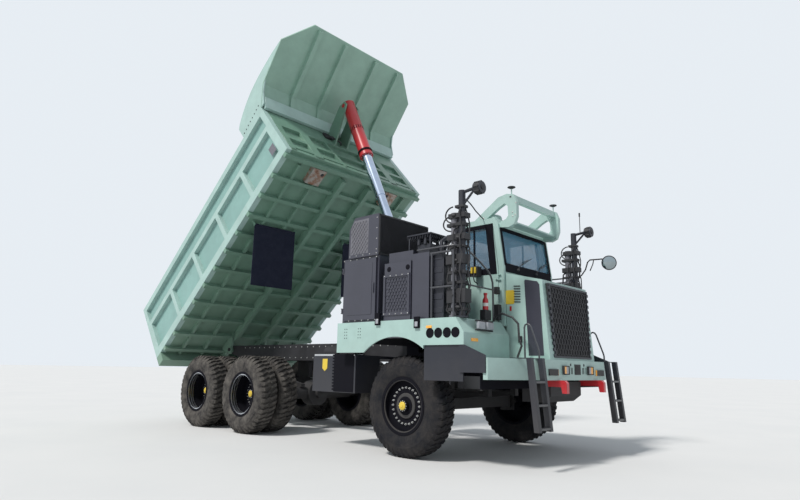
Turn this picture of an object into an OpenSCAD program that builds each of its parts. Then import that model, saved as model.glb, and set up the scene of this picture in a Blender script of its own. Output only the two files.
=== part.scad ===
// Mining dump truck, six wheels, with the dump bed raised.
// X runs across the truck with the right-hand side at -X, the front faces -Y, and Z points up.
// Lengths named with _fwd are measured forward of the front axle, and heights start at the ground.

/* [Wheels] */
// Outer diameter of every tyre
tyre_d = 1875; // [1700:5:2000]
// Width of one tyre
tyre_w = 510; // [440:5:540]
// Diameter of the rim's edge
rim_d = 1020; // [900:5:1100]
// Distance from the front axle to the first driven axle
wheelbase = 5230; // [4900:10:5500]
// Distance between the two driven axles
tandem_gap = 2170; // [2050:10:2400]
// Half of the width over the front tyres
front_half = 2180; // [2150:5:2200]
// Half of the width over the rear tyres
rear_half = 2330; // [2250:5:2350]
// Gap between twin tyres
twin_gap = 90; // [60:5:120]
// Distance of the steering pivots from the centre line
kingpin_x = 1400; // [1350:5:1440]

/* [Frame] */
// Height of the top of the main rails
rail_top = 2220; // [2150:5:2230]
// Height of a main rail's section
rail_h = 430; // [380:5:480]
// Width of a main rail's section
rail_w = 130; // [100:5:160]
// Half of the width over the main rails
rail_half = 560; // [520:5:600]
// Front end of the main rails, forward of the front axle
rail_front_fwd = 2150; // [2000:10:2250]
// Depth of the rails' nose under their top
nose_drop = 740; // [720:5:780]
// Thickness of heavy plates
plate_t = 40; // [25:1:50]

/* [Bed] */
// Tilt of the bed as it stands
bed_tilt = 41; // [30:0.5:41]
// Distance of the hinge behind the last axle
hinge_behind = 1250; // [1200:10:1400]
// Height of the bed's hinge
hinge_z = 2100; // [2080:5:2120]
// Half of the bed's outer width
bed_half = 2500; // [2450:5:2600]
// Length of the bed ahead of its hinge
bed_front = 6900; // [6800:10:6920]
// Length of the bed behind its hinge
bed_rear = 870; // [700:10:950]
// Height of the bed's bottom rail over the hinge
bed_base = 340; // [320:5:380]
// Height of the bed's top over the hinge
bed_top = 2280; // [2150:5:2350]
// Depth of a bed wall with its posts
bed_wall = 150; // [110:5:190]
// Thickness of the bed's plates
bed_plate = 40; // [25:1:60]
// Number of cross beams under the bed
beam_count = 12; // [8:1:15]

/* [Hoist] */
// Distance of the hoist's trunnion ahead of the bed's front wall
trunnion_ahead = 960; // [900:10:1000]
// Height of the trunnion over the bed's top
trunnion_rise = 20; // [0:5:40]
// Lower pivot of the hoist, behind the front axle
hoist_foot_back = 920; // [900:5:940]
// Height of the hoist's lower pivot
hoist_foot_z = 1950; // [1930:5:1970]
// Diameter of the hoist's barrel
barrel_d = 360; // [340:5:380]
// Step in diameter from one hoist stage to the next
stage_step = 30; // [26:1:34]
// Length of the hoist's barrel below its trunnion
barrel_len = 1840; // [1820:5:1900]

/* [Deck] */
// Half of the deck's width
deck_half = 2420; // [2380:5:2440]
// Height of the deck's top
deck_z = 2520; // [2480:5:2560]
// Rear end of the deck, behind the front axle
deck_back = 1610; // [1500:10:1620]
// Front end of the deck, forward of the front axle
deck_front_fwd = 1630; // [1600:10:1680]
// Underside of the deck's front box
deck_low_z = 2045; // [2000:5:2100]
// Height of the deck's rear panel
deck_panel_h = 600; // [520:5:640]
// Radius of the wheel arch about the front axle
arch_r = 1275; // [1200:5:1290]

/* [Front] */
// Front face of the bumper, forward of the front axle
bumper_fwd = 2490; // [2440:5:2540]
// Top of the bumper
bumper_top = 1830; // [1800:5:1860]
// Height of the bumper
bumper_h = 360; // [300:5:400]
// Half of the bumper's flat front face
bumper_flat = 1180; // [1100:5:1250]
// Set-back of the bumper's outer ends
bumper_sweep = 400; // [300:5:450]
// Half of the width of the hood
hood_half = 900; // [850:5:940]
// Front of the hood, forward of the front axle
hood_fwd = 2360; // [2300:5:2400]
// Top of the hood at its front
hood_front_z = 3290; // [3200:5:3350]
// Top of the hood at the windscreen
hood_back_z = 3480; // [3400:5:3520]
// Thickness of hood and fender panels
panel_t = 30; // [20:1:40]

/* [Cab] */
// Half of the cab's width
cab_half = 960; // [920:5:1000]
// Rear wall of the cab, forward of the front axle
cab_back_fwd = 260; // [150:10:350]
// Foot of the windscreen, forward of the front axle
cab_front_fwd = 1520; // [1480:5:1560]
// Height of the foot of the windows
window_low = 3600; // [3560:5:3640]
// Height of the head of the windows
window_high = 4420; // [4350:5:4450]
// Height of the cab's roof
cab_roof = 4620; // [4560:5:4680]
// Thickness of the cab's walls and doors
cab_wall = 60; // [45:1:80]
// Slope of the windscreen from foot to head
screen_lean = 120; // [80:5:160]
// Thickness of the window glass
glass_t = 8; // [6:1:12]

/* [Hidden] */
$fn = 48;

// Clearances
run_gap = 0.05;
soft_gap = 0.3;
pin_gap = 2;
shut_gap = 10;
move_gap = 20;

// Colours
mint = [0.55, 0.76, 0.68];
mint_deep = [0.36, 0.60, 0.53];
black = [0.10, 0.10, 0.11];
steel = [0.75, 0.76, 0.78];
rubber = [0.13, 0.12, 0.12];
red = [0.72, 0.10, 0.10];
yellow = [0.90, 0.75, 0.15];
glass = [0.35, 0.50, 0.55, 0.5];

tyre_r = tyre_d / 2;
rim_r = rim_d / 2;
axle_z = tyre_r;

// The tow hooks and the bed's rearmost corner fix the part's length, and its middle is the origin
hinge_back = wheelbase + tandem_gap + hinge_behind;
tail_rake = 30;
bed_tail_back = hinge_back + (bed_rear - tail_rake) * cos(bed_tilt) + bed_top * sin(bed_tilt);
hook_reach = 180;
axle_y = (bumper_fwd + hook_reach - bed_tail_back) / 2;
hinge_y = axle_y + hinge_back;

trunnion_u = bed_front + trunnion_ahead;
trunnion_v = bed_top + trunnion_rise;

function fwd(d) = axle_y - d;

// Places children in the raised bed's frame, whose origin is the hinge
module on_bed() {
  translate([0, hinge_y, hinge_z]) rotate([-bed_tilt, 0, 0]) children();
}

// Extrudes a side outline, given as (Y, Z), along X from x0
module along_x(x0, len) {
  translate([x0, 0, 0]) rotate([90, 0, 90]) linear_extrude(len) children();
}

// Extrudes a front outline, given as (X, Z), along Y from y0
module along_y(y0, len) {
  translate([0, y0 + len, 0]) rotate([90, 0, 0]) linear_extrude(len) children();
}

// Box from its low corner to its high corner
module box(lo, hi) {
  translate(lo) cube(hi - lo);
}

// Box given by its side, its near and far distance from the centre line, and its places along Y and Z
module side_box(side, x0, x1, y0, y1, z0, z1) {
  box([min(side * x0, side * x1), y0, z0], [max(side * x0, side * x1), y1, z1]);
}

// Cylinder along X, centred on x
module rod_x(x, y, z, r, len) {
  translate([x - len / 2, y, z]) rotate([0, 90, 0]) cylinder(r = r, h = len);
}

// Round bar from one point to another
module bar(a, b, r) {
  d = b - a;
  len = norm(d);
  translate(a)
    rotate([0, acos(d.z / len), atan2(d.y, d.x)])
      cylinder(r = r, h = len, $fn = 24);
}

// Extrudes a side outline on one side of the truck, from x0 outwards
module side_extrude(s, x0, t) {
  along_x(s > 0 ? x0 : -x0 - t, t) children();
}

// Upright hinge on side s about (x, y), with a pin held by two arms that reach back to the wall at wall_x.
// The arms point along Y the way of dir, and the sleeve between them belongs to the door.
hinge_pin_r = 10;
hinge_arm_r = 14;
hinge_arm_t = 14;
sleeve_r = 20;
sleeve_h = 80;
hinge_reach = 64;

module hinge_arms(s, x, y, zs, wall_x, dir) {
  for (z = zs) {
    for (e = [-1, 1]) {
      low = z + (e > 0 ? sleeve_h / 2 + pin_gap : -sleeve_h / 2 - pin_gap - hinge_arm_t);
      side_box(s, wall_x - 1, x + hinge_arm_r, min(y, y + dir * hinge_reach), max(y, y + dir * hinge_reach),
        low, low + hinge_arm_t);
      translate([s * x, y, low]) cylinder(r = hinge_arm_r, h = hinge_arm_t);
    }
    translate([s * x, y, z - sleeve_h / 2 - pin_gap - 1])
      cylinder(r = hinge_pin_r, h = sleeve_h + 2 * pin_gap + 2);
  }
}

// Sleeves of such a hinge, joined to the door by blocks between x0 and x1 that reach away from the arms
module hinge_sleeves(s, x, y, zs, x0, x1, reach) {
  for (z = zs) {
    translate([s * x, y, z - sleeve_h / 2]) cylinder(r = sleeve_r, h = sleeve_h);
    side_box(s, x0, x1, min(y, y + reach), max(y, y + reach), z - sleeve_h / 2 + 2, z + sleeve_h / 2 - 2);
  }
}

module hinge_bores(s, x, y, zs) {
  for (z = zs)
    translate([s * x, y, z - sleeve_h / 2 - 1]) cylinder(r = hinge_pin_r + run_gap, h = sleeve_h + 2);
}

// Chassis

rail_in = rail_half - rail_w;
rail_bottom = rail_top - rail_h;
rail_mid = rail_half - rail_w / 2;
hinge_r = 55;
hinge_boss_r = 115;
lug_gap = 10;
lug_t = 70;
foot_y = fwd(-hoist_foot_back);
eye_w = 150;
cheek_t = 60;
cheek_half = 110;
cheek_in = eye_w / 2 + move_gap;
// Cross members: place forward of the front axle, and depth along the truck
cross_members = [[2050, 160], [1050, 140], [-250, 160], [-1900, 160], [-3400, 160], [-4700, 160],
  [-wheelbase - tandem_gap / 2, 260], [-wheelbase - tandem_gap - 550, 160]];
member_h = 140;
guard_low = 1060;

nose_len = 200;
nose_low = rail_top - nose_drop;
tail_taper = 700;

// Outline of one main rail, deep at its nose and rounded about the bed's hinge at its rear end
module rail_outline() {
  nose_back = rail_front_fwd - nose_len;
  union() {
    polygon([
      [fwd(rail_front_fwd), nose_low], [fwd(rail_front_fwd), rail_top],
      [hinge_y - 80, rail_top], [hinge_y, hinge_z + hinge_boss_r],
      [hinge_y, hinge_z - hinge_boss_r], [hinge_y - tail_taper, rail_bottom],
      [fwd(nose_back), rail_bottom], [fwd(nose_back), nose_low]
    ]);
    translate([hinge_y, hinge_z]) circle(r = hinge_boss_r);
  }
}

module frame() {
  color(black)
    union() {
      for (s = [-1, 1]) along_x(s * rail_mid - rail_w / 2, rail_w) rail_outline();
      for (c = cross_members)
        box([-rail_in - 1, fwd(c[0]) - c[1] / 2, rail_bottom + 20],
            [rail_in + 1, fwd(c[0]) + c[1] / 2, rail_bottom + 20 + member_h]);
      // Beam in front of the hoist's foot, and the cheeks on it
      box([-rail_in - 1, foot_y - 250, rail_bottom + 20], [rail_in + 1, foot_y - 150, rail_top - 60]);
      for (s = [-1, 1])
        side_box(s, cheek_in, cheek_in + cheek_t, foot_y - 151, foot_y + cheek_half,
          rail_bottom + 20, hoist_foot_z + cheek_half);
      rod_x(0, hinge_y, hinge_z, hinge_r, 2 * (rail_half + lug_gap + lug_t + 30));
      under_guard();
    }
}

guard_len = 500;

// Guard under the nose: a bent plate between two cheeks on the rails
module under_guard() {
  half = rail_half + plate_t;
  front = rail_front_fwd + 100;
  rear = rail_front_fwd - guard_len;
  top = bumper_top - bumper_h - 30;
  along_x(-half, 2 * half)
    polygon([
      [fwd(front), top], [fwd(front), guard_low + 120], [fwd(front - 160), guard_low],
      [fwd(rear), guard_low], [fwd(rear), guard_low + plate_t], [fwd(front - 180), guard_low + plate_t],
      [fwd(front - plate_t), guard_low + 140], [fwd(front - plate_t), top]
    ]);
  for (s = [-1, 1])
    side_extrude(s, rail_half - 1, plate_t + 1)
      polygon([
        [fwd(front), top], [fwd(front), guard_low + 120], [fwd(front - 160), guard_low],
        [fwd(rear), guard_low], [fwd(rear), rail_bottom + 60], [fwd(rail_front_fwd - 10), rail_bottom + 60],
        [fwd(rail_front_fwd - 10), top]
      ]);
}

axle_beam_h = 220;
axle_beam_w = 200;
pin_r = 45;
boss_r = 95;
boss_h = 260;

module front_axle() {
  color(black)
    difference() {
      union() {
        box([-kingpin_x + boss_r / 2, fwd(0) - axle_beam_w / 2, axle_z - axle_beam_h / 2],
            [kingpin_x - boss_r / 2, fwd(0) + axle_beam_w / 2, axle_z + axle_beam_h / 2]);
        for (s = [-1, 1])
          translate([s * kingpin_x, fwd(0), axle_z - boss_h / 2]) cylinder(r = boss_r, h = boss_h);
      }
      for (s = [-1, 1])
        translate([s * kingpin_x, fwd(0), axle_z - boss_h / 2 - 1])
          cylinder(r = pin_r + run_gap, h = boss_h + 2);
    }
}

// Centre line of the twin wheels and their tyres' inner faces
twin_inner = rear_half - 2 * tyre_w - twin_gap;
housing_r = 150;
housing_end = twin_inner + 20;
banjo_r = 330;
spindle_r = 110;
spindle_end = rear_half - tyre_w - twin_gap / 2 + 60;

module drive_axle(y) {
  union() {
    rod_x(0, y, axle_z, housing_r, 2 * housing_end);
    rod_x(0, y, axle_z, spindle_r, 2 * spindle_end);
    translate([0, y, axle_z]) rotate([90, 0, 0])
      translate([0, 0, -190]) cylinder(r = banjo_r, h = 380);
    translate([0, y, axle_z]) rotate([90, 0, 0])
      translate([0, 0, -300]) cylinder(r = 140, h = 600);
  }
}

module drive_axles() {
  color(black) for (a = [wheelbase, wheelbase + tandem_gap]) drive_axle(fwd(-a));
}

leaf_w = 120;
leaf_t = 120;
front_leaf = 800;

// Leaf pack, thick at its middle, on seats at the given places
module leaf_pack(y, half_len, z, s) {
  along_x(s * rail_mid - leaf_w / 2, leaf_w)
    polygon([
      [y - half_len, z + leaf_t - 40], [y - half_len, z + leaf_t],
      [y + half_len, z + leaf_t], [y + half_len, z + leaf_t - 40],
      [y + 220, z], [y - 220, z]
    ]);
}

module suspension() {
  front_z = axle_z + axle_beam_h / 2;
  rear_y = fwd(-wheelbase - tandem_gap / 2);
  color(black) {
    for (s = [-1, 1]) {
      union() {
        leaf_pack(fwd(0), front_leaf, front_z, s);
        for (e = [-1, 1])
          box([s * rail_mid - leaf_w / 2, fwd(0) + e * front_leaf - 60, front_z + leaf_t - 60],
              [s * rail_mid + leaf_w / 2, fwd(0) + e * front_leaf + 60, rail_bottom]);
      }
      union() {
        along_x(s * rail_mid - leaf_w / 2, leaf_w)
          polygon([
            [rear_y - tandem_gap / 2 - 120, axle_z + housing_r],
            [rear_y - tandem_gap / 2 - 120, axle_z + housing_r + 90],
            [rear_y - 300, axle_z + housing_r + 240], [rear_y + 300, axle_z + housing_r + 240],
            [rear_y + tandem_gap / 2 + 120, axle_z + housing_r + 90],
            [rear_y + tandem_gap / 2 + 120, axle_z + housing_r],
            [rear_y + 350, axle_z + housing_r], [rear_y - 350, axle_z + housing_r]
          ]);
        box([s * rail_mid - leaf_w / 2, rear_y - 200, axle_z - 120],
            [s * rail_mid + leaf_w / 2, rear_y + 200, axle_z + housing_r + 1]);
        box([s * rail_mid - leaf_w / 2, rear_y - 260, axle_z + housing_r + 239],
            [s * rail_mid + leaf_w / 2, rear_y + 260, rail_bottom]);
      }
    }
  }
}

engine_half = 380;
engine_front = 2120;
engine_len = 1500;
engine_h = 480;

// Engine, on two of the cross members
module engine_block() {
  seat = rail_bottom + 20 + member_h;
  color("dimgray")
    box([-engine_half, fwd(engine_front), seat],
        [engine_half, fwd(engine_front - engine_len), seat + engine_h]);
}

// Wheels

rim_t = 28;
lip_h = 26;
lip_in = 24;
bead_in = 62;
bead_out = 30;
bead_rise = 40;

// Ring profile of a tyre as (radius, distance from the tyre's outer face)
module tyre_profile() {
  w = tyre_w;
  polygon([
    [rim_r, bead_in], [rim_r + bead_rise, bead_out], [rim_r + 160, 0], [tyre_r - 150, 12],
    [tyre_r - 60, 40], [tyre_r - 8, 56], [tyre_r, 80], [tyre_r, w - 80], [tyre_r - 8, w - 56],
    [tyre_r - 60, w - 40], [tyre_r - 150, w - 12], [rim_r + 160, w], [rim_r + bead_rise, w - bead_out],
    [rim_r, w - bead_in]
  ]);
}

// Turns a profile about the axle; distances run inwards from the outer face at x
module on_axle(s, x, y) {
  translate([s * x, y, axle_z]) rotate([0, -90 * s, 0]) rotate_extrude() children();
}

module tyre(s, outer_x, y) {
  color(rubber) on_axle(s, outer_x, y) tyre_profile();
}

// Rim barrel between two lips that follow the beads, for a tyre whose outer face is at a
module rim_profile(a) {
  r = rim_r - soft_gap;
  foot = bead_in - soft_gap;
  top = foot - (bead_in - bead_out) * lip_h / bead_rise;
  b = a + tyre_w;
  polygon([
    [r - rim_t, a + lip_in], [r + lip_h, a + lip_in], [r + lip_h, a + top], [r, a + foot],
    [r, b - foot], [r + lip_h, b - top], [r + lip_h, b - lip_in], [r - rim_t, b - lip_in]
  ]);
}

front_spindle_r = 70;
front_spindle_end = front_half - 190;
front_disc_a = 150;
hub_r = 170;
cap_r = 105;

module front_rim(s) {
  color(black)
    on_axle(s, front_half, fwd(0)) {
      difference() {
        union() {
          rim_profile(0);
          translate([0, front_disc_a]) square([rim_r - 10, 40]);
          translate([0, front_disc_a - 40]) square([hub_r, 320]);
          translate([0, front_disc_a - 110]) square([cap_r, 71]);
        }
        translate([-1, front_half - front_spindle_end]) square([front_spindle_r + run_gap + 1, 600]);
      }
    }
}

twin_disc_a = tyre_w + twin_gap / 2 - 120;
twin_hub_r = 230;

module twin_rims(s, y) {
  color(black)
    on_axle(s, rear_half, y) {
      difference() {
        union() {
          rim_profile(0);
          rim_profile(tyre_w + twin_gap);
          translate([rim_r - soft_gap - rim_t, tyre_w - 60]) square([rim_t, twin_gap + 120]);
          translate([0, twin_disc_a]) square([rim_r - 10, 50]);
          translate([0, twin_disc_a - 60]) square([twin_hub_r, 360]);
          translate([0, twin_disc_a - 130]) square([cap_r, 71]);
        }
        translate([-1, rear_half - spindle_end]) square([spindle_r + run_gap + 1, 900]);
      }
    }
}

module twin_tyres(s, y) {
  tyre(s, rear_half, y);
  tyre(s, rear_half - tyre_w - twin_gap, y);
}

mid_y = fwd(-wheelbase);
rear_y = fwd(-wheelbase - tandem_gap);
module front_rim_right() { front_rim(-1); }
module front_rim_left() { front_rim(1); }
module front_tyre_right() { tyre(-1, front_half, fwd(0)); }
module front_tyre_left() { tyre(1, front_half, fwd(0)); }
module mid_rims_right() { twin_rims(-1, mid_y); }
module mid_rims_left() { twin_rims(1, mid_y); }
module mid_tyres_right() { twin_tyres(-1, mid_y); }
module mid_tyres_left() { twin_tyres(1, mid_y); }
module rear_rims_right() { twin_rims(-1, rear_y); }
module rear_rims_left() { twin_rims(1, rear_y); }
module rear_tyres_right() { twin_tyres(-1, rear_y); }
module rear_tyres_left() { twin_tyres(1, rear_y); }

arm_t = 60;
arm_gap = 6;
web_out = 200;

// Steering knuckle: a fork over the axle's eye, its pin and the wheel's spindle
module knuckle(s) {
  low = boss_h / 2 + arm_gap;
  color(black)
    union() {
      for (e = [-1, 1])
        side_box(s, kingpin_x - 80, kingpin_x + web_out, fwd(0) - 90, fwd(0) + 90,
          axle_z + (e > 0 ? low : -low - arm_t), axle_z + (e > 0 ? low + arm_t : -low));
      side_box(s, kingpin_x + 120, kingpin_x + web_out, fwd(0) - 110, fwd(0) + 110,
        axle_z - low - arm_t, axle_z + low + arm_t);
      translate([s * kingpin_x, fwd(0), axle_z - low - arm_t]) cylinder(r = pin_r, h = 2 * (low + arm_t));
      rod_x(s * (kingpin_x + web_out - 1 + front_spindle_end) / 2, fwd(0), axle_z, front_spindle_r,
        front_spindle_end - kingpin_x - web_out + 1);
    }
}
module knuckle_right() { knuckle(-1); }
module knuckle_left() { knuckle(1); }

// Front end

bumper_t = 90;
bumper_half = deck_half - panel_t - 1 - soft_gap;
corner_w = 250;
corner_back = 130;

// Plan outline of the bumper up to the deck's front, as (X, Y), set back by t
module bumper_plan(t) {
  a = bumper_flat;
  y0 = fwd(bumper_fwd - t);
  rear = fwd(deck_front_fwd) + panel_t;
  polygon([
    [-bumper_half, rear], [-bumper_half, y0 + bumper_sweep], [-a - corner_w, y0 + corner_back], [-a, y0],
    [a, y0], [a + corner_w, y0 + corner_back], [bumper_half, y0 + bumper_sweep], [bumper_half, rear]
  ]);
}

module bumper() {
  low = bumper_top - bumper_h;
  hood_seat = hood_half - panel_t - 10;
  color(mint)
    union() {
      translate([0, 0, low])
        linear_extrude(bumper_h)
          difference() {
            bumper_plan(0);
            bumper_plan(bumper_t);
          }
      // Tread plate on top, with a hole under the hood
      translate([0, 0, bumper_top - panel_t])
        linear_extrude(panel_t)
          difference() {
            bumper_plan(1);
            translate([-hood_seat, fwd(hood_fwd - 60)]) square([2 * hood_seat, hood_fwd]);
          }
      // Bottom plate and the brackets on the rails' noses
      box([-bumper_flat, fwd(bumper_fwd - bumper_t + 1), low],
          [bumper_flat, fwd(rail_front_fwd), low + panel_t]);
      for (s = [-1, 1])
        side_box(s, rail_in, rail_half, fwd(bumper_fwd - bumper_t + 1), fwd(rail_front_fwd),
          low + panel_t - 1, bumper_top - panel_t);
    }
}

hook_x = 760;
hook_w = 90;
hook_h = 115;
hook_drop = 225;
hook_back = 2160;

// Tow hooks under the bumper: thick bars whose ends turn down
module tow_hooks() {
  y0 = fwd(bumper_fwd + hook_reach);
  z = bumper_top - bumper_h;
  color(red)
    for (s = [-1, 1])
      side_extrude(s, hook_x - hook_w / 2, hook_w)
        polygon([
          [fwd(hook_back), z], [y0 + 45, z], [y0, z - 45], [y0, z - hook_drop], [y0 + 90, z - hook_drop],
          [y0 + 110, z - hook_h], [fwd(hook_back), z - hook_h]
        ]);
}

ladder_in = 1300;
ladder_out = 1760;
ladder_low = 640;
ladder_depth = 90;
stile_t = 50;
rung_h = 35;
rung_first = 20;
rung_step = 390;
rung_count = 3;
ladder_ahead = 50;
tab_back = 370;
tab_t = 14;

// Ladders: flat stiles with tabs on the tread plate, and three rungs
module ladders() {
  y0 = fwd(bumper_fwd + ladder_ahead);
  y1 = fwd(bumper_fwd - tab_back);
  color(black)
    for (s = [-1, 1])
      union() {
        for (x = [ladder_in, ladder_out - stile_t])
          side_extrude(s, x, stile_t)
            polygon([
              [y0, ladder_low], [y0 + ladder_depth, ladder_low], [y0 + ladder_depth + tab_t, bumper_top],
              [y1, bumper_top], [y1, bumper_top + tab_t], [y0 + tab_t, bumper_top + tab_t]
            ]);
        for (i = [0 : rung_count - 1]) {
          z = ladder_low + rung_first + i * rung_step;
          side_box(s, ladder_in + stile_t / 2, ladder_out - stile_t / 2, y0 + tab_t, y0 + ladder_depth - 5,
            z, z + rung_h);
        }
      }
}

// Side outline of the hood, as (Y, Z)
module hood_outline(t) {
  polygon([
    [fwd(cab_front_fwd + 10), bumper_top], [fwd(cab_front_fwd + 10), hood_back_z - t],
    [fwd(hood_fwd - 60 - t), hood_front_z - t], [fwd(hood_fwd + 60 - t), bumper_top]
  ]);
}

grille_half_top = 790;
grille_half_low = 720;
grille_low_z = 1870;
grille_high_z = hood_front_z - 60;

// Outline of the grille seen from the front, grown by g
module grille_outline(g) {
  polygon([
    [-grille_half_low - g, grille_low_z - g], [grille_half_low + g, grille_low_z - g],
    [grille_half_top + g, grille_high_z + g], [-grille_half_top - g, grille_high_z + g]
  ]);
}

module hood() {
  color(mint)
    difference() {
      along_x(-hood_half, 2 * hood_half) hood_outline(0);
      along_x(-hood_half + panel_t, 2 * (hood_half - panel_t))
        translate([20, -panel_t]) hood_outline(panel_t);
      along_y(fwd(hood_fwd + 100), 300) grille_outline(soft_gap);
    }
}

module grille() {
  color(black)
    intersection() {
      along_y(fwd(hood_fwd + 100), 300) grille_outline(0);
      along_x(-hood_half, 2 * hood_half)
        polygon([
          [fwd(hood_fwd - 45), hood_front_z], [fwd(hood_fwd - 5), hood_front_z],
          [fwd(hood_fwd + 55), bumper_top], [fwd(hood_fwd - 5), bumper_top]
        ]);
    }
}

// Cab

cab_floor = deck_z - 60;
door_front_fwd = cab_front_fwd - 130;
door_rear_fwd = cab_back_fwd + 130;
door_low = cab_floor + 100;
door_high = cab_roof - 120;
door_frame = 90;
hinge_out = 22;
door_hinge_fwd = door_front_fwd + shut_gap / 2;
door_hinge_zs = [door_low + 200, window_low - 200];

// Side outline of the cab, grown inwards by t
module cab_outline(t) {
  lean = screen_lean;
  polygon([
    [fwd(cab_back_fwd + t), cab_floor + t], [fwd(cab_back_fwd + t), cab_roof - 60 - t],
    [fwd(cab_back_fwd + 60 + t), cab_roof - t], [fwd(cab_front_fwd - lean - 80 - t), cab_roof - t],
    [fwd(cab_front_fwd - lean - t), window_high + 60], [fwd(cab_front_fwd - t), window_low],
    [fwd(cab_front_fwd - t), cab_floor + t]
  ]);
}

// Outline of a cab door, grown by g
module door_outline(g) {
  top_fwd = door_front_fwd - screen_lean;
  polygon([
    [fwd(door_rear_fwd - g), door_low - g], [fwd(door_rear_fwd - g), door_high + g],
    [fwd(top_fwd + g), door_high + g], [fwd(door_front_fwd + g), window_low],
    [fwd(door_front_fwd + g), door_low - g]
  ]);
}

// Opening for the door's window, grown by g
module door_window(g) {
  top_fwd = door_front_fwd - screen_lean - door_frame;
  polygon([
    [fwd(door_rear_fwd + door_frame - g), window_low - g],
    [fwd(door_rear_fwd + door_frame - g), window_high + g],
    [fwd(top_fwd + 20 + g), window_high + g], [fwd(door_front_fwd - door_frame + g), window_low - g]
  ]);
}

screen_half = cab_half - 90;

// Forward place of the windscreen's outer face at height z
function screen_fwd(z) = cab_front_fwd - screen_lean * (z - window_low) / (window_high + 60 - window_low);

// Slab along the windscreen, grown by g, from d0 to d1 behind its outer face
module screen_slab(g, d0, d1) {
  low = window_low + 40 - g;
  high = window_high - 20 + g;
  along_x(-screen_half - g, 2 * (screen_half + g))
    polygon([
      [fwd(screen_fwd(low) - d0), low], [fwd(screen_fwd(low) - d1), low],
      [fwd(screen_fwd(high) - d1), high], [fwd(screen_fwd(high) - d0), high]
    ]);
}

rear_pane_half = 600;
pane_in = 20;

module cab_shell() {
  color(mint)
    union() {
      difference() {
        along_x(-cab_half, 2 * cab_half) cab_outline(0);
        along_x(-cab_half + cab_wall, 2 * (cab_half - cab_wall)) cab_outline(cab_wall);
        for (s = [-1, 1]) side_extrude(s, cab_half - cab_wall - 1, cab_wall + 2) door_outline(shut_gap);
        screen_slab(0, -200, 200);
        box([-rear_pane_half, fwd(cab_back_fwd + 200), window_low],
            [rear_pane_half, fwd(cab_back_fwd - 10), window_high]);
      }
      // Feet on the main rails, and the fixed halves of the door hinges
      for (s = [-1, 1], f = [cab_back_fwd + 150, cab_front_fwd - 150])
        side_box(s, rail_in, rail_half, fwd(f) - 70, fwd(f) + 70, rail_top, cab_floor + 1);
      for (s = [-1, 1])
        hinge_arms(s, cab_half + hinge_out, fwd(door_hinge_fwd), door_hinge_zs, cab_half, -1);
    }
}

module cab_glass() {
  color(glass) {
    screen_slab(-soft_gap, pane_in, pane_in + glass_t);
    box([-rear_pane_half + soft_gap, fwd(cab_back_fwd + pane_in + glass_t), window_low + soft_gap],
        [rear_pane_half - soft_gap, fwd(cab_back_fwd + pane_in), window_high - soft_gap]);
  }
}

module door(s) {
  hinge_x = cab_half + hinge_out;
  y = fwd(door_hinge_fwd);
  color(mint)
    difference() {
      union() {
        side_extrude(s, cab_half - cab_wall, cab_wall) door_outline(0);
        hinge_sleeves(s, hinge_x, y, door_hinge_zs, cab_half - 1, hinge_x + hinge_pin_r, hinge_reach);
      }
      side_extrude(s, cab_half - cab_wall - 1, cab_wall + 2) door_window(0);
      hinge_bores(s, hinge_x, y, door_hinge_zs);
    }
}

module door_glass(s) {
  color(glass) side_extrude(s, cab_half - cab_wall / 2, glass_t) door_window(-soft_gap);
}
module door_right() { door(-1); }
module door_left() { door(1); }
module door_right_glass() { door_glass(-1); }
module door_left_glass() { door_glass(1); }

seat_fwd = 620;
seat_w = 520;
wheel_r = 220;

// Seat, dashboard and steering wheel
module cab_interior() {
  floor_z = cab_floor + cab_wall;
  color(black) {
    union() {
      box([-seat_w / 2 + 60, fwd(seat_fwd + 200), floor_z],
          [seat_w / 2 - 60, fwd(seat_fwd - 200), floor_z + 420]);
      box([-seat_w / 2, fwd(seat_fwd + 260), floor_z + 419], [seat_w / 2, fwd(seat_fwd - 260), floor_z + 560]);
      along_x(-seat_w / 2, seat_w)
        polygon([
          [fwd(seat_fwd - 120), floor_z + 559], [fwd(seat_fwd - 180), floor_z + 1300],
          [fwd(seat_fwd - 290), floor_z + 1300], [fwd(seat_fwd - 260), floor_z + 559]
        ]);
    }
    union() {
      along_x(-cab_half + cab_wall + 10, 2 * (cab_half - cab_wall - 10))
        polygon([
          [fwd(cab_front_fwd - cab_wall - 1), floor_z], [fwd(cab_front_fwd - cab_wall - 1), window_low - 20],
          [fwd(cab_front_fwd - cab_wall - 170), window_low - 60], [fwd(cab_front_fwd - cab_wall - 120), floor_z]
        ]);
      bar([0, fwd(cab_front_fwd - 200), window_low - 200], [0, fwd(seat_fwd + 420), window_low - 40], 30);
      translate([0, fwd(seat_fwd + 420), window_low - 40]) rotate([55, 0, 0])
        union() {
          rotate_extrude() translate([wheel_r, 0]) circle(r = 18, $fn = 16);
          for (a = [90, 210, 330]) rotate([0, 0, a]) bar([0, 0, 0], [wheel_r, 0, 0], 14);
        }
    }
  }
}

roof_plate_x = 850;
roof_plate_w = 90;
hoop_rise = 460;
hoop_top = cab_roof + hoop_rise;
hoop_ahead = 270;
hoop_front = cab_front_fwd + hoop_ahead;
hoop_w = 200;

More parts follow.
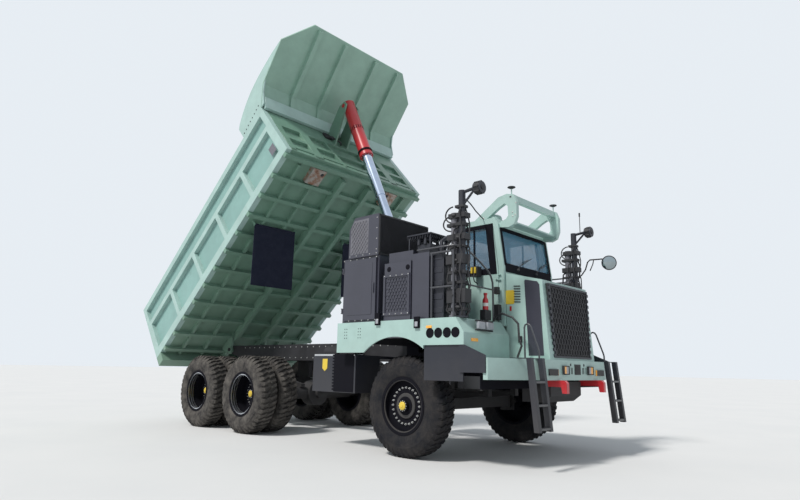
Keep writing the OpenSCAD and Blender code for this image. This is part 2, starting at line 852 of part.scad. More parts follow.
// Side outline of the roof frame's plates, as (Y, Z); their arms are about hoop_w wide
module hoop_outline() {
  f = hoop_front;
  w = hoop_w;
  screen = cab_front_fwd - screen_lean;
  polygon([
    [fwd(f - 0.95 * w), window_high - 0.15 * w], [fwd(f - 0.3 * w), window_high + 0.1 * w],
    [fwd(f), window_high + 0.85 * w], [fwd(f), hoop_top - 0.95 * w], [fwd(f - 0.3 * w), hoop_top - 0.2 * w],
    [fwd(f - 1.1 * w), hoop_top], [fwd(f - 2.1 * w), hoop_top - 0.2 * w],
    [fwd(cab_back_fwd + 2.5 * w), cab_roof], [fwd(cab_back_fwd + 4 * w), cab_roof],
    [fwd(f - 2.1 * w), hoop_top - 1.3 * w], [fwd(f - 1.35 * w), hoop_top - 0.95 * w],
    [fwd(f - w), hoop_top - 1.3 * w], [fwd(f - 0.95 * w), window_high + 1.05 * w],
    [fwd(f - 1.2 * w), window_high + 0.75 * w], [fwd(screen - 0.2 * w), window_high + 0.4 * w],
    [fwd(screen), window_high]
  ]);
}

disc_stem_r = 12;
disc_up = 170;
disc_r = 75;
disc_h = 30;

// Roof frame: two hooked plates, the tube across them, the visor and its aerials
module roof_frame() {
  w = hoop_w;
  tube_fwd = hoop_front - 0.65 * w;
  visor_back = cab_front_fwd - screen_lean;
  color(mint)
    difference() {
      union() {
        for (s = [-1, 1]) side_extrude(s, roof_plate_x - roof_plate_w / 2, roof_plate_w) hoop_outline();
        along_x(-roof_plate_x, 2 * roof_plate_x)
          polygon([
            [fwd(tube_fwd + 0.3 * w), hoop_top - 0.8 * w], [fwd(tube_fwd + 0.3 * w), hoop_top - 0.2 * w],
            [fwd(tube_fwd - 0.3 * w), hoop_top - 0.1 * w], [fwd(tube_fwd - 0.3 * w), hoop_top - 0.75 * w]
          ]);
        along_x(-roof_plate_x, 2 * roof_plate_x)
          polygon([
            [fwd(visor_back), window_high + 0.4 * w], [fwd(hoop_front - 0.45 * w), window_high + 0.3 * w],
            [fwd(hoop_front - 0.45 * w), window_high + 0.45 * w], [fwd(visor_back), window_high + 0.7 * w]
          ]);
        for (s = [-1, 1])
          translate([s * roof_plate_x, fwd(tube_fwd), hoop_top - 0.3 * w]) {
            cylinder(r = disc_stem_r, h = disc_up);
            translate([0, 0, disc_up - 5]) cylinder(r1 = disc_r / 2, r2 = disc_r, h = disc_h);
          }
      }
      along_x(-cab_half, 2 * cab_half) cab_outline(-soft_gap);
    }
}

// Deck and fenders

deck_in = cab_half + 30;
arch_front = 730;
deck_t = 40;
deck_nose = 260;
deck_slope = 170;

module fender_outline() {
  a = fwd(-deck_back);
  b = fwd(deck_front_fwd);
  difference() {
    polygon([
      [a, deck_z], [a, deck_z - deck_panel_h], [b, deck_z - deck_panel_h], [b, deck_low_z],
      [b, deck_z - deck_nose], [b + deck_slope, deck_z]
    ]);
    translate([fwd(0), axle_z]) circle(r = arch_r);
    translate([b - 1, deck_z - deck_panel_h - 1])
      square([deck_front_fwd - arch_front + 1, deck_low_z - deck_z + deck_panel_h + 1]);
  }
}

module deck(s) {
  b = fwd(deck_front_fwd);
  color(mint)
    union() {
      side_extrude(s, deck_half - panel_t, panel_t) fender_outline();
      side_box(s, deck_in, deck_half - panel_t + 1, b + deck_slope, fwd(-deck_back), deck_z - deck_t, deck_z);
      // Sloped nose plate and the front face down to the bumper's tread plate
      side_extrude(s, deck_in, deck_half - deck_in - panel_t + 1)
        polygon([[b + deck_slope, deck_z], [b + deck_slope, deck_z - deck_t], [b + panel_t, deck_z - deck_nose],
          [b + panel_t, deck_low_z], [b, deck_low_z], [b, deck_z - deck_nose]]);
      side_box(s, deck_in, deck_half - panel_t - 1 - soft_gap, b, b + panel_t, bumper_top, deck_low_z + 1);
      // Brackets from the main rails, low under the cab
      for (f = [-1450, -350, 1220]) {
        side_box(s, rail_in, deck_in + 21, fwd(f) - 60, fwd(f) + 60, cab_floor - 100, cab_floor - 10);
        side_box(s, deck_in, deck_half - panel_t + 1, fwd(f) - 60, fwd(f) + 60,
          cab_floor - 100, deck_z - deck_t + 1);
        side_box(s, rail_in, rail_half, fwd(f) - 60, fwd(f) + 60, rail_top, cab_floor - 99);
      }
    }
}
module deck_right() { deck(-1); }
module deck_left() { deck(1); }

skirt_t = 25;
skirt_low = 1430;
skirt_len = 900;

// Skirts under the deck: a panel behind its front, and one outside the bumper's end
module side_skirts() {
  b = fwd(deck_front_fwd);
  out = deck_half - panel_t;
  color(black)
    for (s = [-1, 1])
      union() {
        side_box(s, out - skirt_t, out, b + panel_t + 5, b + skirt_len, skirt_low, deck_low_z + 60);
        side_extrude(s, out - 1, skirt_t + 1)
          polygon([
            [b + 100, skirt_low + 150], [b + 100, deck_low_z - soft_gap], [b, deck_low_z - soft_gap],
            [b - 430, bumper_top + 40], [b - 430, skirt_low + 150]
          ]);
      }
}

box_out = 2200;
box_in = 1500;
box_top = 1880;
box_low = 1115;
box_front = 1260;
box_mid = 1930;
box_back = 2610;
box_arm_in = 250;
box_arm_w = 100;
box_arm_h = 60;

// Boxes behind the front wheels, hung from the main rails
module side_boxes() {
  color(black)
    for (s = [-1, 1])
      union() {
        side_box(s, box_in, box_out, fwd(-box_front), fwd(-box_mid), box_low, box_top);
        side_box(s, box_in, box_out, fwd(-box_mid) - 1, fwd(-box_back), box_low, box_top);
        for (d = [box_front + box_arm_in, box_back - box_arm_in])
          side_box(s, rail_half, box_in + 1, fwd(-d) - box_arm_w / 2, fwd(-d) + box_arm_w / 2,
            box_top - box_arm_h, box_top - 1);
      }
}

cabinet_out = deck_half - 30;
cabinet_in = 1010;
cabinet_back = 1550;
cabinet_front = 510;
cabinet_top = 3860;
lid_t = 40;
lid_margin = 50;
lid_gap = 5;
lid_hinge_back = cabinet_back - lid_margin + sleeve_r + pin_gap;
lid_hinge_zs = [deck_z + 250, cabinet_top - 250];

// Cabinet, hollow behind its door
module cabinet() {
  wall_x = cabinet_out - lid_t - lid_gap;
  color(black)
    union() {
      difference() {
        side_box(-1, cabinet_in, wall_x, fwd(-cabinet_front), fwd(-cabinet_back), deck_z, cabinet_top);
        side_box(-1, cabinet_out - 500, cabinet_out, fwd(-cabinet_front - 2 * lid_margin),
          fwd(-cabinet_back + 2 * lid_margin), deck_z + 2 * lid_margin, cabinet_top - 2 * lid_margin);
      }
      intersection() {
        hinge_arms(-1, cabinet_out, fwd(-lid_hinge_back), lid_hinge_zs, wall_x, 1);
        side_box(-1, 0, deck_half, fwd(0), fwd(-cabinet_back), deck_z, cabinet_top);
      }
    }
}

module cabinet_door() {
  y = fwd(-lid_hinge_back);
  color(black)
    difference() {
      union() {
        side_box(-1, cabinet_out - lid_t, cabinet_out, fwd(-cabinet_front - lid_margin),
          fwd(-cabinet_back + lid_margin), deck_z + lid_margin, cabinet_top - lid_margin);
        hinge_sleeves(-1, cabinet_out, y, lid_hinge_zs, cabinet_out - lid_t / 2, cabinet_out - pin_gap,
          -sleeve_r - pin_gap - 1);
      }
      hinge_bores(-1, cabinet_out, y, lid_hinge_zs);
    }
}

cooler_in = 850;
cooler_top = 4720;

module cooler() {
  color(black)
    side_extrude(-1, cooler_in, cabinet_out - cooler_in)
      polygon([
        [fwd(-cabinet_front), cabinet_top], [fwd(-cabinet_front), cooler_top],
        [fwd(-cabinet_back + 330), cooler_top], [fwd(-cabinet_back + 170), cooler_top - 260],
        [fwd(-cabinet_back + 170), cabinet_top]
      ]);
}

filter_top = 3640;
filter_in = 1500;
filter_front = 380;
filter_back = 310;
filter_lid_h = 210;
filter_lid_in = 60;
panel_top = 3760;
panel_front = 810;
panel_in = 1830;

module deck_boxes() {
  color(black) {
    union() {
      side_box(-1, filter_in, cabinet_out, fwd(filter_front), fwd(-filter_back), deck_z, filter_top);
      side_box(-1, filter_in + 3 * filter_lid_in, cabinet_out - filter_lid_in, fwd(filter_front),
        fwd(-filter_back + filter_lid_in), filter_top - 1, filter_top + filter_lid_h);
    }
    side_box(-1, panel_in, cabinet_out - 20, fwd(panel_front), fwd(filter_front + 20), deck_z, panel_top);
  }
}

mast_x = 2210;
mast_fwd = 1450;
mast_r = 65;
mast_top = 4850;
sensor_r = 110;

// Sensor masts on both sides: post, arm and round sensor
module masts() {
  color(black)
    for (s = [-1, 1])
      union() {
        translate([s * mast_x, fwd(mast_fwd), deck_z]) cylinder(r = mast_r, h = mast_top - deck_z);
        bar([s * mast_x, fwd(mast_fwd), mast_top - 40], [s * mast_x, fwd(mast_fwd + 330), mast_top], 30);
        bar([s * mast_x, fwd(mast_fwd), mast_top - 300], [s * mast_x, fwd(mast_fwd + 300), mast_top - 10], 22);
        translate([s * mast_x, fwd(mast_fwd + 380), mast_top - 20]) rotate([90, 0, 0])
          cylinder(r = sensor_r, h = 150, center = true);
        translate([s * mast_x, fwd(mast_fwd), deck_z]) cylinder(r = 110, h = 30);
      }
}

rail_r = 20;
rail_x = deck_half - 70;
rail_back_fwd = 840;
rail_end_fwd = 1380;
rail_low_h = 560;
rail_high_h = 1200;

module handrails() {
  color(steel)
    for (s = [-1, 1])
      union() {
        for (h = [rail_low_h, rail_high_h])
          bar([s * rail_x, fwd(rail_back_fwd), deck_z + h], [s * rail_x, fwd(rail_end_fwd), deck_z + h], rail_r);
        for (f = [rail_back_fwd + rail_r, rail_end_fwd - rail_r])
          bar([s * rail_x, fwd(f), deck_z], [s * rail_x, fwd(f), deck_z + rail_high_h], rail_r);
      }
}

mirror_r = 165;
mirror_fwd = 2250;
mirror_z = 4050;
mirror_out = 60;
mirror_arm_r = 16;
mirror_h = 60;

// Round mirror on an arm from the left mast
module mirror() {
  color(black)
    difference() {
      union() {
        bar([mast_x, fwd(mast_fwd), mirror_z], [mast_x + mirror_out, fwd(mirror_fwd), mirror_z], mirror_arm_r);
        translate([mast_x + mirror_out, fwd(mirror_fwd), mirror_z]) rotate([90, 0, 20])
          cylinder(r = mirror_r, h = mirror_h, center = true);
      }
      translate([mast_x, fwd(mast_fwd), mirror_z - mirror_r])
        cylinder(r = mast_r + soft_gap, h = 2 * mirror_r);
    }
}

// Lamps in the bumper's face: distance from the centre, width, height of the middle, height
lamps = [[-930, 300, 1610, 110], [-500, 200, 1650, 150], [500, 200, 1650, 150], [930, 300, 1610, 110]];

module front_lamps() {
  color(yellow)
    for (l = lamps)
      box([l[0] - l[1] / 2, fwd(bumper_fwd + 25), l[2] - l[3] / 2],
          [l[0] + l[1] / 2, fwd(bumper_fwd), l[2] + l[3] / 2]);
}

// Bed, drawn in its own frame: -Y runs forward and Z is measured from the hinge

wall_in = bed_half - bed_wall;
beam_h = 120;
beam_w = 110;
spine_low = 130;
tail_low = 50;
tail_len = 270;
wall_face = bed_front - 80;

module bed_side_outline() {
  polygon([
    [bed_rear, bed_base], [bed_rear - tail_rake, bed_top], [-bed_front, bed_top], [-bed_front, bed_base]
  ]);
}

// Pockets between the rails and posts: the long one above, and a row below with slanting posts
post_count = 5;
post_w = 150;
top_rail_h = 170;
mid_rail_h = 150;
pocket_h = 480;
low_rail_h = 230;

module side_pockets() {
  z3 = bed_top - top_rail_h;
  z2 = z3 - pocket_h;
  z1 = z2 - mid_rail_h;
  z0 = bed_base + low_rail_h;
  step = (bed_front + bed_rear - 200 - post_w) / post_count;
  polygon([[bed_rear - 180, z2], [bed_rear - 180, z3], [-bed_front + 180, z3], [-bed_front + 180, z2]]);
  for (i = [0 : post_count - 1]) {
    y0 = -bed_front + 100 + post_w + i * step;
    polygon([[y0, z0], [y0 + step - post_w, z0], [y0 + step - post_w, z1], [y0, z1]]);
  }
}

module bed_side(s) {
  color(mint)
    on_bed()
      difference() {
        side_extrude(s, wall_in, bed_wall) bed_side_outline();
        side_extrude(s, wall_in + bed_plate, bed_wall) side_pockets();
      }
}
module bed_side_right() { bed_side(-1); }
module bed_side_left() { bed_side(1); }

beam_step = (bed_front + bed_rear - tail_len - 400) / (beam_count - 1);
flap_u = 4600;
flap_v = 200;
flap_in = 900;
flap_out = 2200;
flap_rod_r = 12;
ear_t = 15;
ear_gap = 5;

module bed_floor() {
  color(mint_deep)
    on_bed()
      difference() {
        union() {
          box([-wall_in, -wall_face + bed_plate, bed_base], [wall_in, bed_rear, bed_base + bed_plate]);
          for (i = [0 : beam_count - 1])
            box([-bed_half, -bed_front + 100 + i * beam_step, bed_base - beam_h],
                [bed_half, -bed_front + 100 + beam_w + i * beam_step, bed_base]);
          for (s = [-1, 1]) {
            side_box(s, rail_in, rail_half, -bed_front + 300, bed_rear - tail_len + 1, spine_low, bed_base + 1);
            side_extrude(s, rail_half + lug_gap, lug_t)
              polygon([
                [-420, bed_base + 1], [420, bed_base + 1], [hinge_boss_r, 0], [60, -hinge_boss_r],
                [-60, -hinge_boss_r], [-hinge_boss_r, 0]
              ]);
            // Ears and the rod that carry the rubber flap ahead of the wheels
            for (x = [flap_in - ear_gap - ear_t, flap_out + ear_gap])
              side_box(s, x, x + ear_t, -flap_u - 40, -flap_u + 40, flap_v - 30, bed_base + 1);
            rod_x(s * (flap_in + flap_out) / 2, -flap_u, flap_v, flap_rod_r,
              flap_out - flap_in + 2 * (ear_gap + ear_t));
          }
          box([-bed_half, bed_rear - tail_len, tail_low], [bed_half, bed_rear, bed_base]);
        }
        rod_x(0, 0, 0, hinge_r + run_gap, 2 * bed_half);
      }
}

pad_x = 1350;
pad_half = 220;
pad_low = 200;

// Pads of bare steel under the bed's front corner
module rest_pads() {
  color(steel)
    on_bed()
      for (s = [-1, 1])
        side_box(s, pad_x - pad_half, pad_x + pad_half, -bed_front + 110 + beam_w, -bed_front + 50 + beam_step,
          pad_low, bed_base);
}

bracket_t = 50;
bracket_in = barrel_d / 2 + move_gap;
trunnion_r = 60;
wall_beam_zs = [bed_base + 200, 1000, 1600];
wall_beam_h = 130;

module bed_wall_front() {
  color(mint_deep)
    on_bed()
      difference() {
        union() {
          box([-wall_in, -wall_face, bed_base], [wall_in, -wall_face + bed_plate, bed_top - bed_plate]);
          for (z = wall_beam_zs)
            box([-wall_in, -bed_front, z], [wall_in, -wall_face + 1, z + wall_beam_h]);
          for (s = [-1, 1])
            side_extrude(s, bracket_in, bracket_t)
              polygon([
                [-wall_face + 1, trunnion_v - 700], [-trunnion_u, trunnion_v - 130],
                [-trunnion_u - 110, trunnion_v - 60], [-trunnion_u - 110, trunnion_v + 60],
                [-trunnion_u + 100, trunnion_v + 130], [-wall_face + 1, bed_top - 120]
              ]);
        }
        translate([0, -trunnion_u, trunnion_v]) rod_x(0, 0, 0, trunnion_r + run_gap, 1200);
      }
}

// Canopy: places ahead of the hinge and heights over it at its foot, knee and lip, and where its corners start
foot_in = 60;
knee_out = 466;
knee_up = 539;
lip_out = 2385;
lip_up = 1010;
canopy_foot = [bed_front - foot_in, bed_top - bed_plate];
canopy_knee = [bed_front + knee_out, bed_top + knee_up];
canopy_lip = [bed_front + lip_out, bed_top + lip_up];
corner_out = 1665;
corner_u = bed_front + corner_out;
lip_half = 1740;
rib_h = 110;
rib_w = 120;
rib_xs = [-1540, -600, 600, 1540];

// Side outline of the canopy, t thick and stopping d short of the lip
module canopy_outline(t, d) {
  slope = (canopy_lip[1] - canopy_knee[1]) / (canopy_lip[0] - canopy_knee[0]);
  end = [-canopy_lip[0] + d, canopy_lip[1] - d * slope];
  polygon([
    [-canopy_foot[0], canopy_foot[1]], [-canopy_knee[0], canopy_knee[1]], end, end - [0, t],
    [-canopy_knee[0] + t / 4, canopy_knee[1] - t], [-canopy_foot[0] + t / 2, canopy_foot[1] - t]
  ]);
}

module bed_canopy() {
  color(mint)
    on_bed()
      difference() {
        union() {
          along_x(-bed_half, 2 * bed_half) canopy_outline(bed_plate, 0);
          for (x = rib_xs)
            along_x(x - rib_w / 2, rib_w) translate([0, -bed_plate + 1]) canopy_outline(rib_h, 60);
        }
        for (s = [-1, 1])
          translate([0, 0, bed_top])
            linear_extrude(canopy_lip[1])
              polygon([
                [s * (bed_half + 1), -corner_u], [s * (bed_half + 1), -canopy_lip[0] - 1],
                [s * lip_half, -canopy_lip[0] - 1]
              ]);
        // Seats on the bed's sides and front wall
        for (s = [-1, 1])
          side_box(s, wall_in - soft_gap, bed_half + 1, -bed_front - soft_gap, 0, bed_base, bed_top + soft_gap);
        box([-bed_half, -wall_face - soft_gap, bed_base], [bed_half, 0, bed_top + soft_gap]);
      }
}

flap_t = 20;
flap_roll_r = 30;
flap_h = 1600;

// Rubber flaps that hang plumb from rods under the bed, whatever its tilt
module bed_flaps() {
  top = bed_point(flap_u, flap_v, bed_tilt);
  color(rubber)
    for (s = [-1, 1])
      difference() {
        union() {
          side_box(s, flap_in, flap_out, top[0] - flap_t / 2, top[0] + flap_t / 2,
            top[1] - flap_h, top[1]);
          rod_x(s * (flap_in + flap_out) / 2, top[0], top[1], flap_roll_r, flap_out - flap_in);
        }
        rod_x(s * (flap_in + flap_out) / 2, top[0], top[1], flap_rod_r + run_gap, flap_out - flap_in + 2);
      }
}

// Hoist, drawn along its own line from the trunnion to its foot

function bed_point(u, v, tilt) =
  [hinge_y - u * cos(tilt) + v * sin(tilt), hinge_z + u * sin(tilt) + v * cos(tilt)];
trunnion_up = bed_point(trunnion_u, trunnion_v, bed_tilt);
trunnion_down = bed_point(trunnion_u, trunnion_v, 0);
foot = [foot_y, hoist_foot_z];
hoist_long = norm(foot - trunnion_up);
hoist_short = norm(foot - trunnion_down);
stage_stroke = (hoist_long - hoist_short) / 4;
hoist_angle = atan2(foot[0] - trunnion_up[0], trunnion_up[1] - foot[1]);
collar_step = 50;
stage_top = 320;

module on_hoist() {
  translate([0, trunnion_up[0], trunnion_up[1]]) rotate([180 + hoist_angle, 0, 0]) children();
}

function stage_r(k) = barrel_d / 2 - 45 - (k - 1) * stage_step / 2;

module hoist_barrel() {
  color(red)
    on_hoist()
      difference() {
        union() {
          translate([0, 0, -150]) cylinder(r = barrel_d / 2, h = barrel_len + 150);
          rod_x(0, 0, 0, trunnion_r, 2 * (bracket_in + bracket_t));
        }
        translate([0, 0, stage_top - 60]) cylinder(r = stage_r(1) + run_gap, h = barrel_len);
      }
}

module hoist_stage(k) {
  top = stage_top + (k - 1) * 20 + k * stage_stroke;
  end = barrel_len + k * collar_step + k * stage_stroke;
  color(steel)
    on_hoist()
      difference() {
        translate([0, 0, top]) cylinder(r = stage_r(k), h = end - top);
        translate([0, 0, top - 1]) cylinder(r = stage_r(k + 1) + run_gap, h = end - top + 2);
      }
}
module hoist_stage_1() { hoist_stage(1); }
module hoist_stage_2() { hoist_stage(2); }
module hoist_stage_3() { hoist_stage(3); }

eye_r = 110;

module hoist_rod() {
  color(steel)
    on_hoist()
      union() {
        translate([0, 0, stage_top + 60 + 4 * stage_stroke])
          cylinder(r = stage_r(4), h = hoist_short - stage_top - 60);
        translate([0, 0, hoist_long]) rod_x(0, 0, 0, eye_r, eye_w);
        translate([0, 0, hoist_long]) rod_x(0, 0, 0, 50, 2 * (cheek_in - 6));
      }
}

frame();
front_axle();
drive_axles();
suspension();
engine_block();
bumper();
tow_hooks();
ladders();
hood();
grille();
cab_shell();
cab_glass();
cab_interior();
roof_frame();
deck_right();
deck_left();
side_skirts();
side_boxes();
cabinet();
cooler();
deck_boxes();
masts();
handrails();
mirror();
front_lamps();
door_right();
door_right_glass();
door_left();
door_left_glass();
cabinet_door();
knuckle_right();
knuckle_left();
front_rim_right();
front_tyre_right();
front_rim_left();
front_tyre_left();
mid_rims_right();
mid_tyres_right();
mid_rims_left();
mid_tyres_left();
rear_rims_right();
rear_tyres_right();
rear_rims_left();
rear_tyres_left();
bed_floor();
rest_pads();
bed_side_right();
bed_side_left();
bed_wall_front();
bed_canopy();
bed_flaps();
hoist_barrel();
hoist_stage_1();
hoist_stage_2();
hoist_stage_3();
hoist_rod();
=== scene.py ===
from math import cos, pi, radians, sin, sqrt

import bmesh
import bpy
from bpy.props import FloatProperty, FloatVectorProperty, IntProperty, PointerProperty
from mathutils import Matrix, Vector


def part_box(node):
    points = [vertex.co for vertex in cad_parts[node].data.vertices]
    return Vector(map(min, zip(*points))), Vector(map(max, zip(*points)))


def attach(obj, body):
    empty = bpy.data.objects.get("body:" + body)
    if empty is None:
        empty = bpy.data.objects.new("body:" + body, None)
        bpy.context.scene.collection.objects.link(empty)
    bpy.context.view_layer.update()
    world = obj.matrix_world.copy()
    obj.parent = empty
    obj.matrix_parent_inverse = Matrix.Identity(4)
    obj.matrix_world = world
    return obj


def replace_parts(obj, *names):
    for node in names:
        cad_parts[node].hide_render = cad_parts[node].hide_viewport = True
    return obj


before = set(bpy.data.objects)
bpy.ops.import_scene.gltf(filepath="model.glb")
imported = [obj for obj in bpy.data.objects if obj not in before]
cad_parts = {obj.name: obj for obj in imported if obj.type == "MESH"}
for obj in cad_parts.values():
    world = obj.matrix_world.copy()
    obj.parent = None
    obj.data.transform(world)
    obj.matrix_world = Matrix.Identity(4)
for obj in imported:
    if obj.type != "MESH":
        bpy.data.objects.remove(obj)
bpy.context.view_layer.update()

bl_info = {
    "name": "Mining dump truck dressing",
    "version": (1, 0, 0),
    "blender": (4, 5, 0),
    "location": "3D View > Sidebar > Truck",
    "description": "Dresses the packed dump truck with finishes, tyres, lamps, hoses and trim",
    "category": "Object",
}

# Places repeated from the part's source, in metres
AXLE_Y = -4.054885
HINGE_Y = 4.595115
HINGE_Z = 2.1
TILT = radians(41)
TYRE_R = 0.9375
TYRE_W = 0.51
RIM_R = 0.51
TWIN_STEP = 0.6
BUMPER_F = 2.49
HOOD_HALF = 0.9
CAB_FLOOR = 2.52
DOOR_X = 0.96
DECK_HALF = 2.42
DECK_TOP = 2.53
CABINET_X = -2.39
MAST_X = 2.21
MAST_F = 1.45
BOX_X = 2.2
BED_HALF = 2.5
BED_FRONT = 6.9
BED_REAR = 0.87
POCKET_X = 2.3905
TRUNNION_U = 7.86
TRUNNION_V = 2.3
FOOT_F = -0.92
FOOT_Z = 1.95

# Wheel places: name, side, outer face, place forward of the front axle, twin or not
WHEELS = [
    ("front_right", -1, 2.18, 0.0, False),
    ("front_left", 1, 2.18, 0.0, False),
    ("mid_right", -1, 2.33, -5.23, True),
    ("mid_left", 1, 2.33, -5.23, True),
    ("rear_right", -1, 2.33, -7.4, True),
    ("rear_left", 1, 2.33, -7.4, True),
]


def truck(x, f, z):
    """Point at x across, f forward of the front axle and z up."""
    return Vector((x, AXLE_Y - f, z))


def bed(x, u, v):
    """Point in the raised bed's frame: u ahead of its hinge and v over it."""
    c, s = cos(TILT), sin(TILT)
    return Vector((x, HINGE_Y - u * c + v * s, HINGE_Z + u * s + v * c))


TRUNNION = bed(0, TRUNNION_U, TRUNNION_V)
HOIST_LINE = (truck(0, FOOT_F, FOOT_Z) - TRUNNION).normalized()
HOIST_SIDE = HOIST_LINE.cross(Vector((1, 0, 0)))


def hoist(x, n, d):
    """Point on the hoist: d down from its trunnion, x across and n square to both."""
    return TRUNNION + HOIST_LINE * d + HOIST_SIDE * n + Vector((x, 0, 0))


def wheel(side, outer, f):
    """Places for one wheel: a inwards from its outer face, radius r, and turn t."""
    def place(a, r, t):
        return Vector((side * (outer - a), AXLE_Y - f - r * cos(t), TYRE_R + r * sin(t)))
    return place


def grille(x, d, z):
    """Point d ahead of the grille's leaning face."""
    return truck(x, 2.355 + 0.06 * (3.29 - z) / 1.46 + d, z)


def screen(x, d, z):
    """Point d ahead of the windscreen's leaning face."""
    return truck(x, 1.52 - 0.12 * (z - 3.6) / 0.88 + d, z)


# The body that carries a place, where it isn't the chassis
BODY_OF = {bed: "bed", hoist: "hoist_barrel"}


def steps(low, high, count):
    """Evenly spaced values from low to high, both included."""
    return [low + (high - low) * i / (count - 1) for i in range(count)]


def turns(count):
    """Evenly spaced angles of a full turn."""
    return [2 * pi * k / count for k in range(count)]


def filled(thing, **values):
    """The thing, with its values set."""
    for name, value in values.items():
        setattr(thing, name, value)
    return thing


class Val:
    """One socket of a finish, on which shader maths is written as expressions."""

    def __init__(self, finish, socket):
        self.finish = finish
        self.socket = socket

    def sums(self, operation, first, second):
        """A sum of two numbers, or of two vectors, as one node."""
        kind = "ShaderNodeMath" if self.socket.type == "VALUE" else "ShaderNodeVectorMath"
        return self.finish.node(kind, {"operation": operation}, {0: first, 1: second})

    def __add__(self, other):
        return self.sums("ADD", self, other)

    def __radd__(self, other):
        return self.sums("ADD", other, self)

    def __sub__(self, other):
        return self.sums("SUBTRACT", self, other)

    def __rsub__(self, other):
        return self.sums("SUBTRACT", other, self)

    def __mul__(self, other):
        return self.sums("MULTIPLY", self, other)

    def over(self, low, high):
        """0 below low, 1 over high, and even between them."""
        values = {"Value": self, "From Min": low, "From Max": high}
        return self.finish.node("ShaderNodeMapRange", {"clamp": True}, values)


class Finish:
    """One material, or the world, and the nodes that make it."""

    def __init__(self, name, owner=None):
        self.material = owner or bpy.data.materials.new(name)
        self.material.use_nodes = True
        self.tree = self.material.node_tree
        self.tree.nodes.clear()

    def node(self, kind, settings, values, out=0):
        """A node with its settings made first, then the values or links of its sockets."""
        made = self.tree.nodes.new(kind)
        for name, value in settings.items():
            if name == "stops":
                ramp = made.color_ramp
                while len(ramp.elements) < len(value):
                    ramp.elements.new(0.5)
                for element, (place, colour) in zip(ramp.elements, value):
                    element.position = place
                    element.color = (*colour, 1.0)
            else:
                setattr(made, name, value)
        for name, value in values.items():
            socket = made.inputs[name]
            if isinstance(value, Val):
                self.tree.links.new(value.socket, socket)
            elif socket.type == "RGBA" and len(value) == 3:
                socket.default_value = (*value, 1.0)
            elif socket.type == "VECTOR" and isinstance(value, (int, float)):
                socket.default_value = (value, value, value)
            else:
                socket.default_value = value
        return Val(self, made.outputs[out]) if made.outputs else None

    def where(self):
        """The place on the piece, in metres."""
        return self.node("ShaderNodeTexCoord", {}, {}, "Object")

    def noise(self, scale, detail=4.0, rough=0.55, stretch=None):
        """Cloudy noise over the piece; stretch squeezes it along each axis."""
        vector = self.where() * stretch if stretch else self.where()
        values = {"Vector": vector, "Scale": scale, "Detail": detail, "Roughness": rough}
        return self.node("ShaderNodeTexNoise", {}, values)

    def mix(self, share, first, second):
        """Colour mix: first at 0, second at 1."""
        return self.node("ShaderNodeMix", {"data_type": "RGBA"}, {0: share, 6: first, 7: second}, 2)

    def bump(self, height, strength, distance):
        """Relief from a height, up to a distance in metres."""
        values = {"Height": height, "Strength": strength, "Distance": distance}
        return self.node("ShaderNodeBump", {}, values)

    def surface(self, **sockets):
        """The shader and its output; a socket's name has _ for a space."""
        values = {name.replace("_", " "): value for name, value in sockets.items()}
        shader = self.node("ShaderNodeBsdfPrincipled", {}, values)
        self.node("ShaderNodeOutputMaterial", {}, {"Surface": shader})
        return self.material


def toned(colour, factor, lift=0.0):
    """A colour made darker or lighter."""
    return tuple(min(1, c * factor + lift) for c in colour)


def low_dust(finish, foot, head):
    """Share of dust that fades from the height foot to the height head, broken up by noise."""
    height = finish.node("ShaderNodeSeparateXYZ", {}, {"Vector": finish.where()}, "Z")
    patches = finish.noise(1.7, 6.0, 0.62)
    return 1 - (height + (patches - 0.5) * (head - foot)).over(foot, head)


def paint(name, colour, dust, dust_top, dusty=0.35, rough=0.38, runs=0.06, coat=0.15, shine=0.5):
    """Sprayed paint: slight mottling, orange peel, faint rain runs and road dust from below."""
    finish = Finish(name)
    mottle = finish.noise(2.3, 5.0, 0.6)
    streaks = finish.noise(1.0, 5.0, 0.65, stretch=(9.0, 9.0, 0.7))
    specks = finish.noise(46.0, 3.0, 0.5)
    tint = finish.mix(mottle.over(0.35, 0.68), toned(colour, 0.86), colour)
    tint = finish.mix(streaks.over(0.56, 0.82) * runs * 4, tint, toned(colour, 0.72))
    grime = low_dust(finish, 0.4, dust_top) * dusty + specks.over(0.6, 0.8) * dusty * 0.3
    peel = finish.noise(170.0, 2.0, 0.5)
    return finish.surface(
        Base_Color=finish.mix(grime.over(0.0, 1.0), tint, dust),
        Roughness=rough + mottle * 0.12 + grime * 0.5,
        Normal=finish.bump(peel + specks * 0.4, 0.16, 0.0008),
        Coat_Weight=coat,
        Coat_Roughness=0.2,
        Specular_IOR_Level=shine,
    )


def iron(name, colour, dust, rough=0.62):
    """Dark chassis iron with dust, oil stains and a rough cast skin."""
    finish = Finish(name)
    patches = finish.noise(3.1, 6.0, 0.65)
    skin = finish.noise(90.0, 4.0, 0.6)
    tint = finish.mix(patches.over(0.42, 0.7), colour, toned(colour, 1.9))
    return finish.surface(
        Base_Color=finish.mix(low_dust(finish, 0.5, 2.0) * 0.5 + skin.over(0.55, 0.8) * 0.2, tint, dust),
        Roughness=rough + patches * 0.2,
        Normal=finish.bump(skin, 0.35, 0.0015),
    )


def rubber(name, colour, dust, dusty=0.8, scuffs=40.0):
    """Rubber with dry dust in its hollows and a fine moulded skin."""
    finish = Finish(name)
    patches = finish.noise(4.3, 7.0, 0.68)
    scuff = finish.noise(scuffs, 5.0, 0.6)
    tint = finish.mix(patches.over(0.36, 0.66) * dusty, colour, dust)
    return finish.surface(
        Base_Color=finish.mix(scuff.over(0.58, 0.78) * 0.5, tint, toned(dust, 1.5)),
        Roughness=0.72 + patches * 0.2,
        Normal=finish.bump(scuff + patches, 0.4, 0.0025),
        Specular_IOR_Level=0.16,
    )


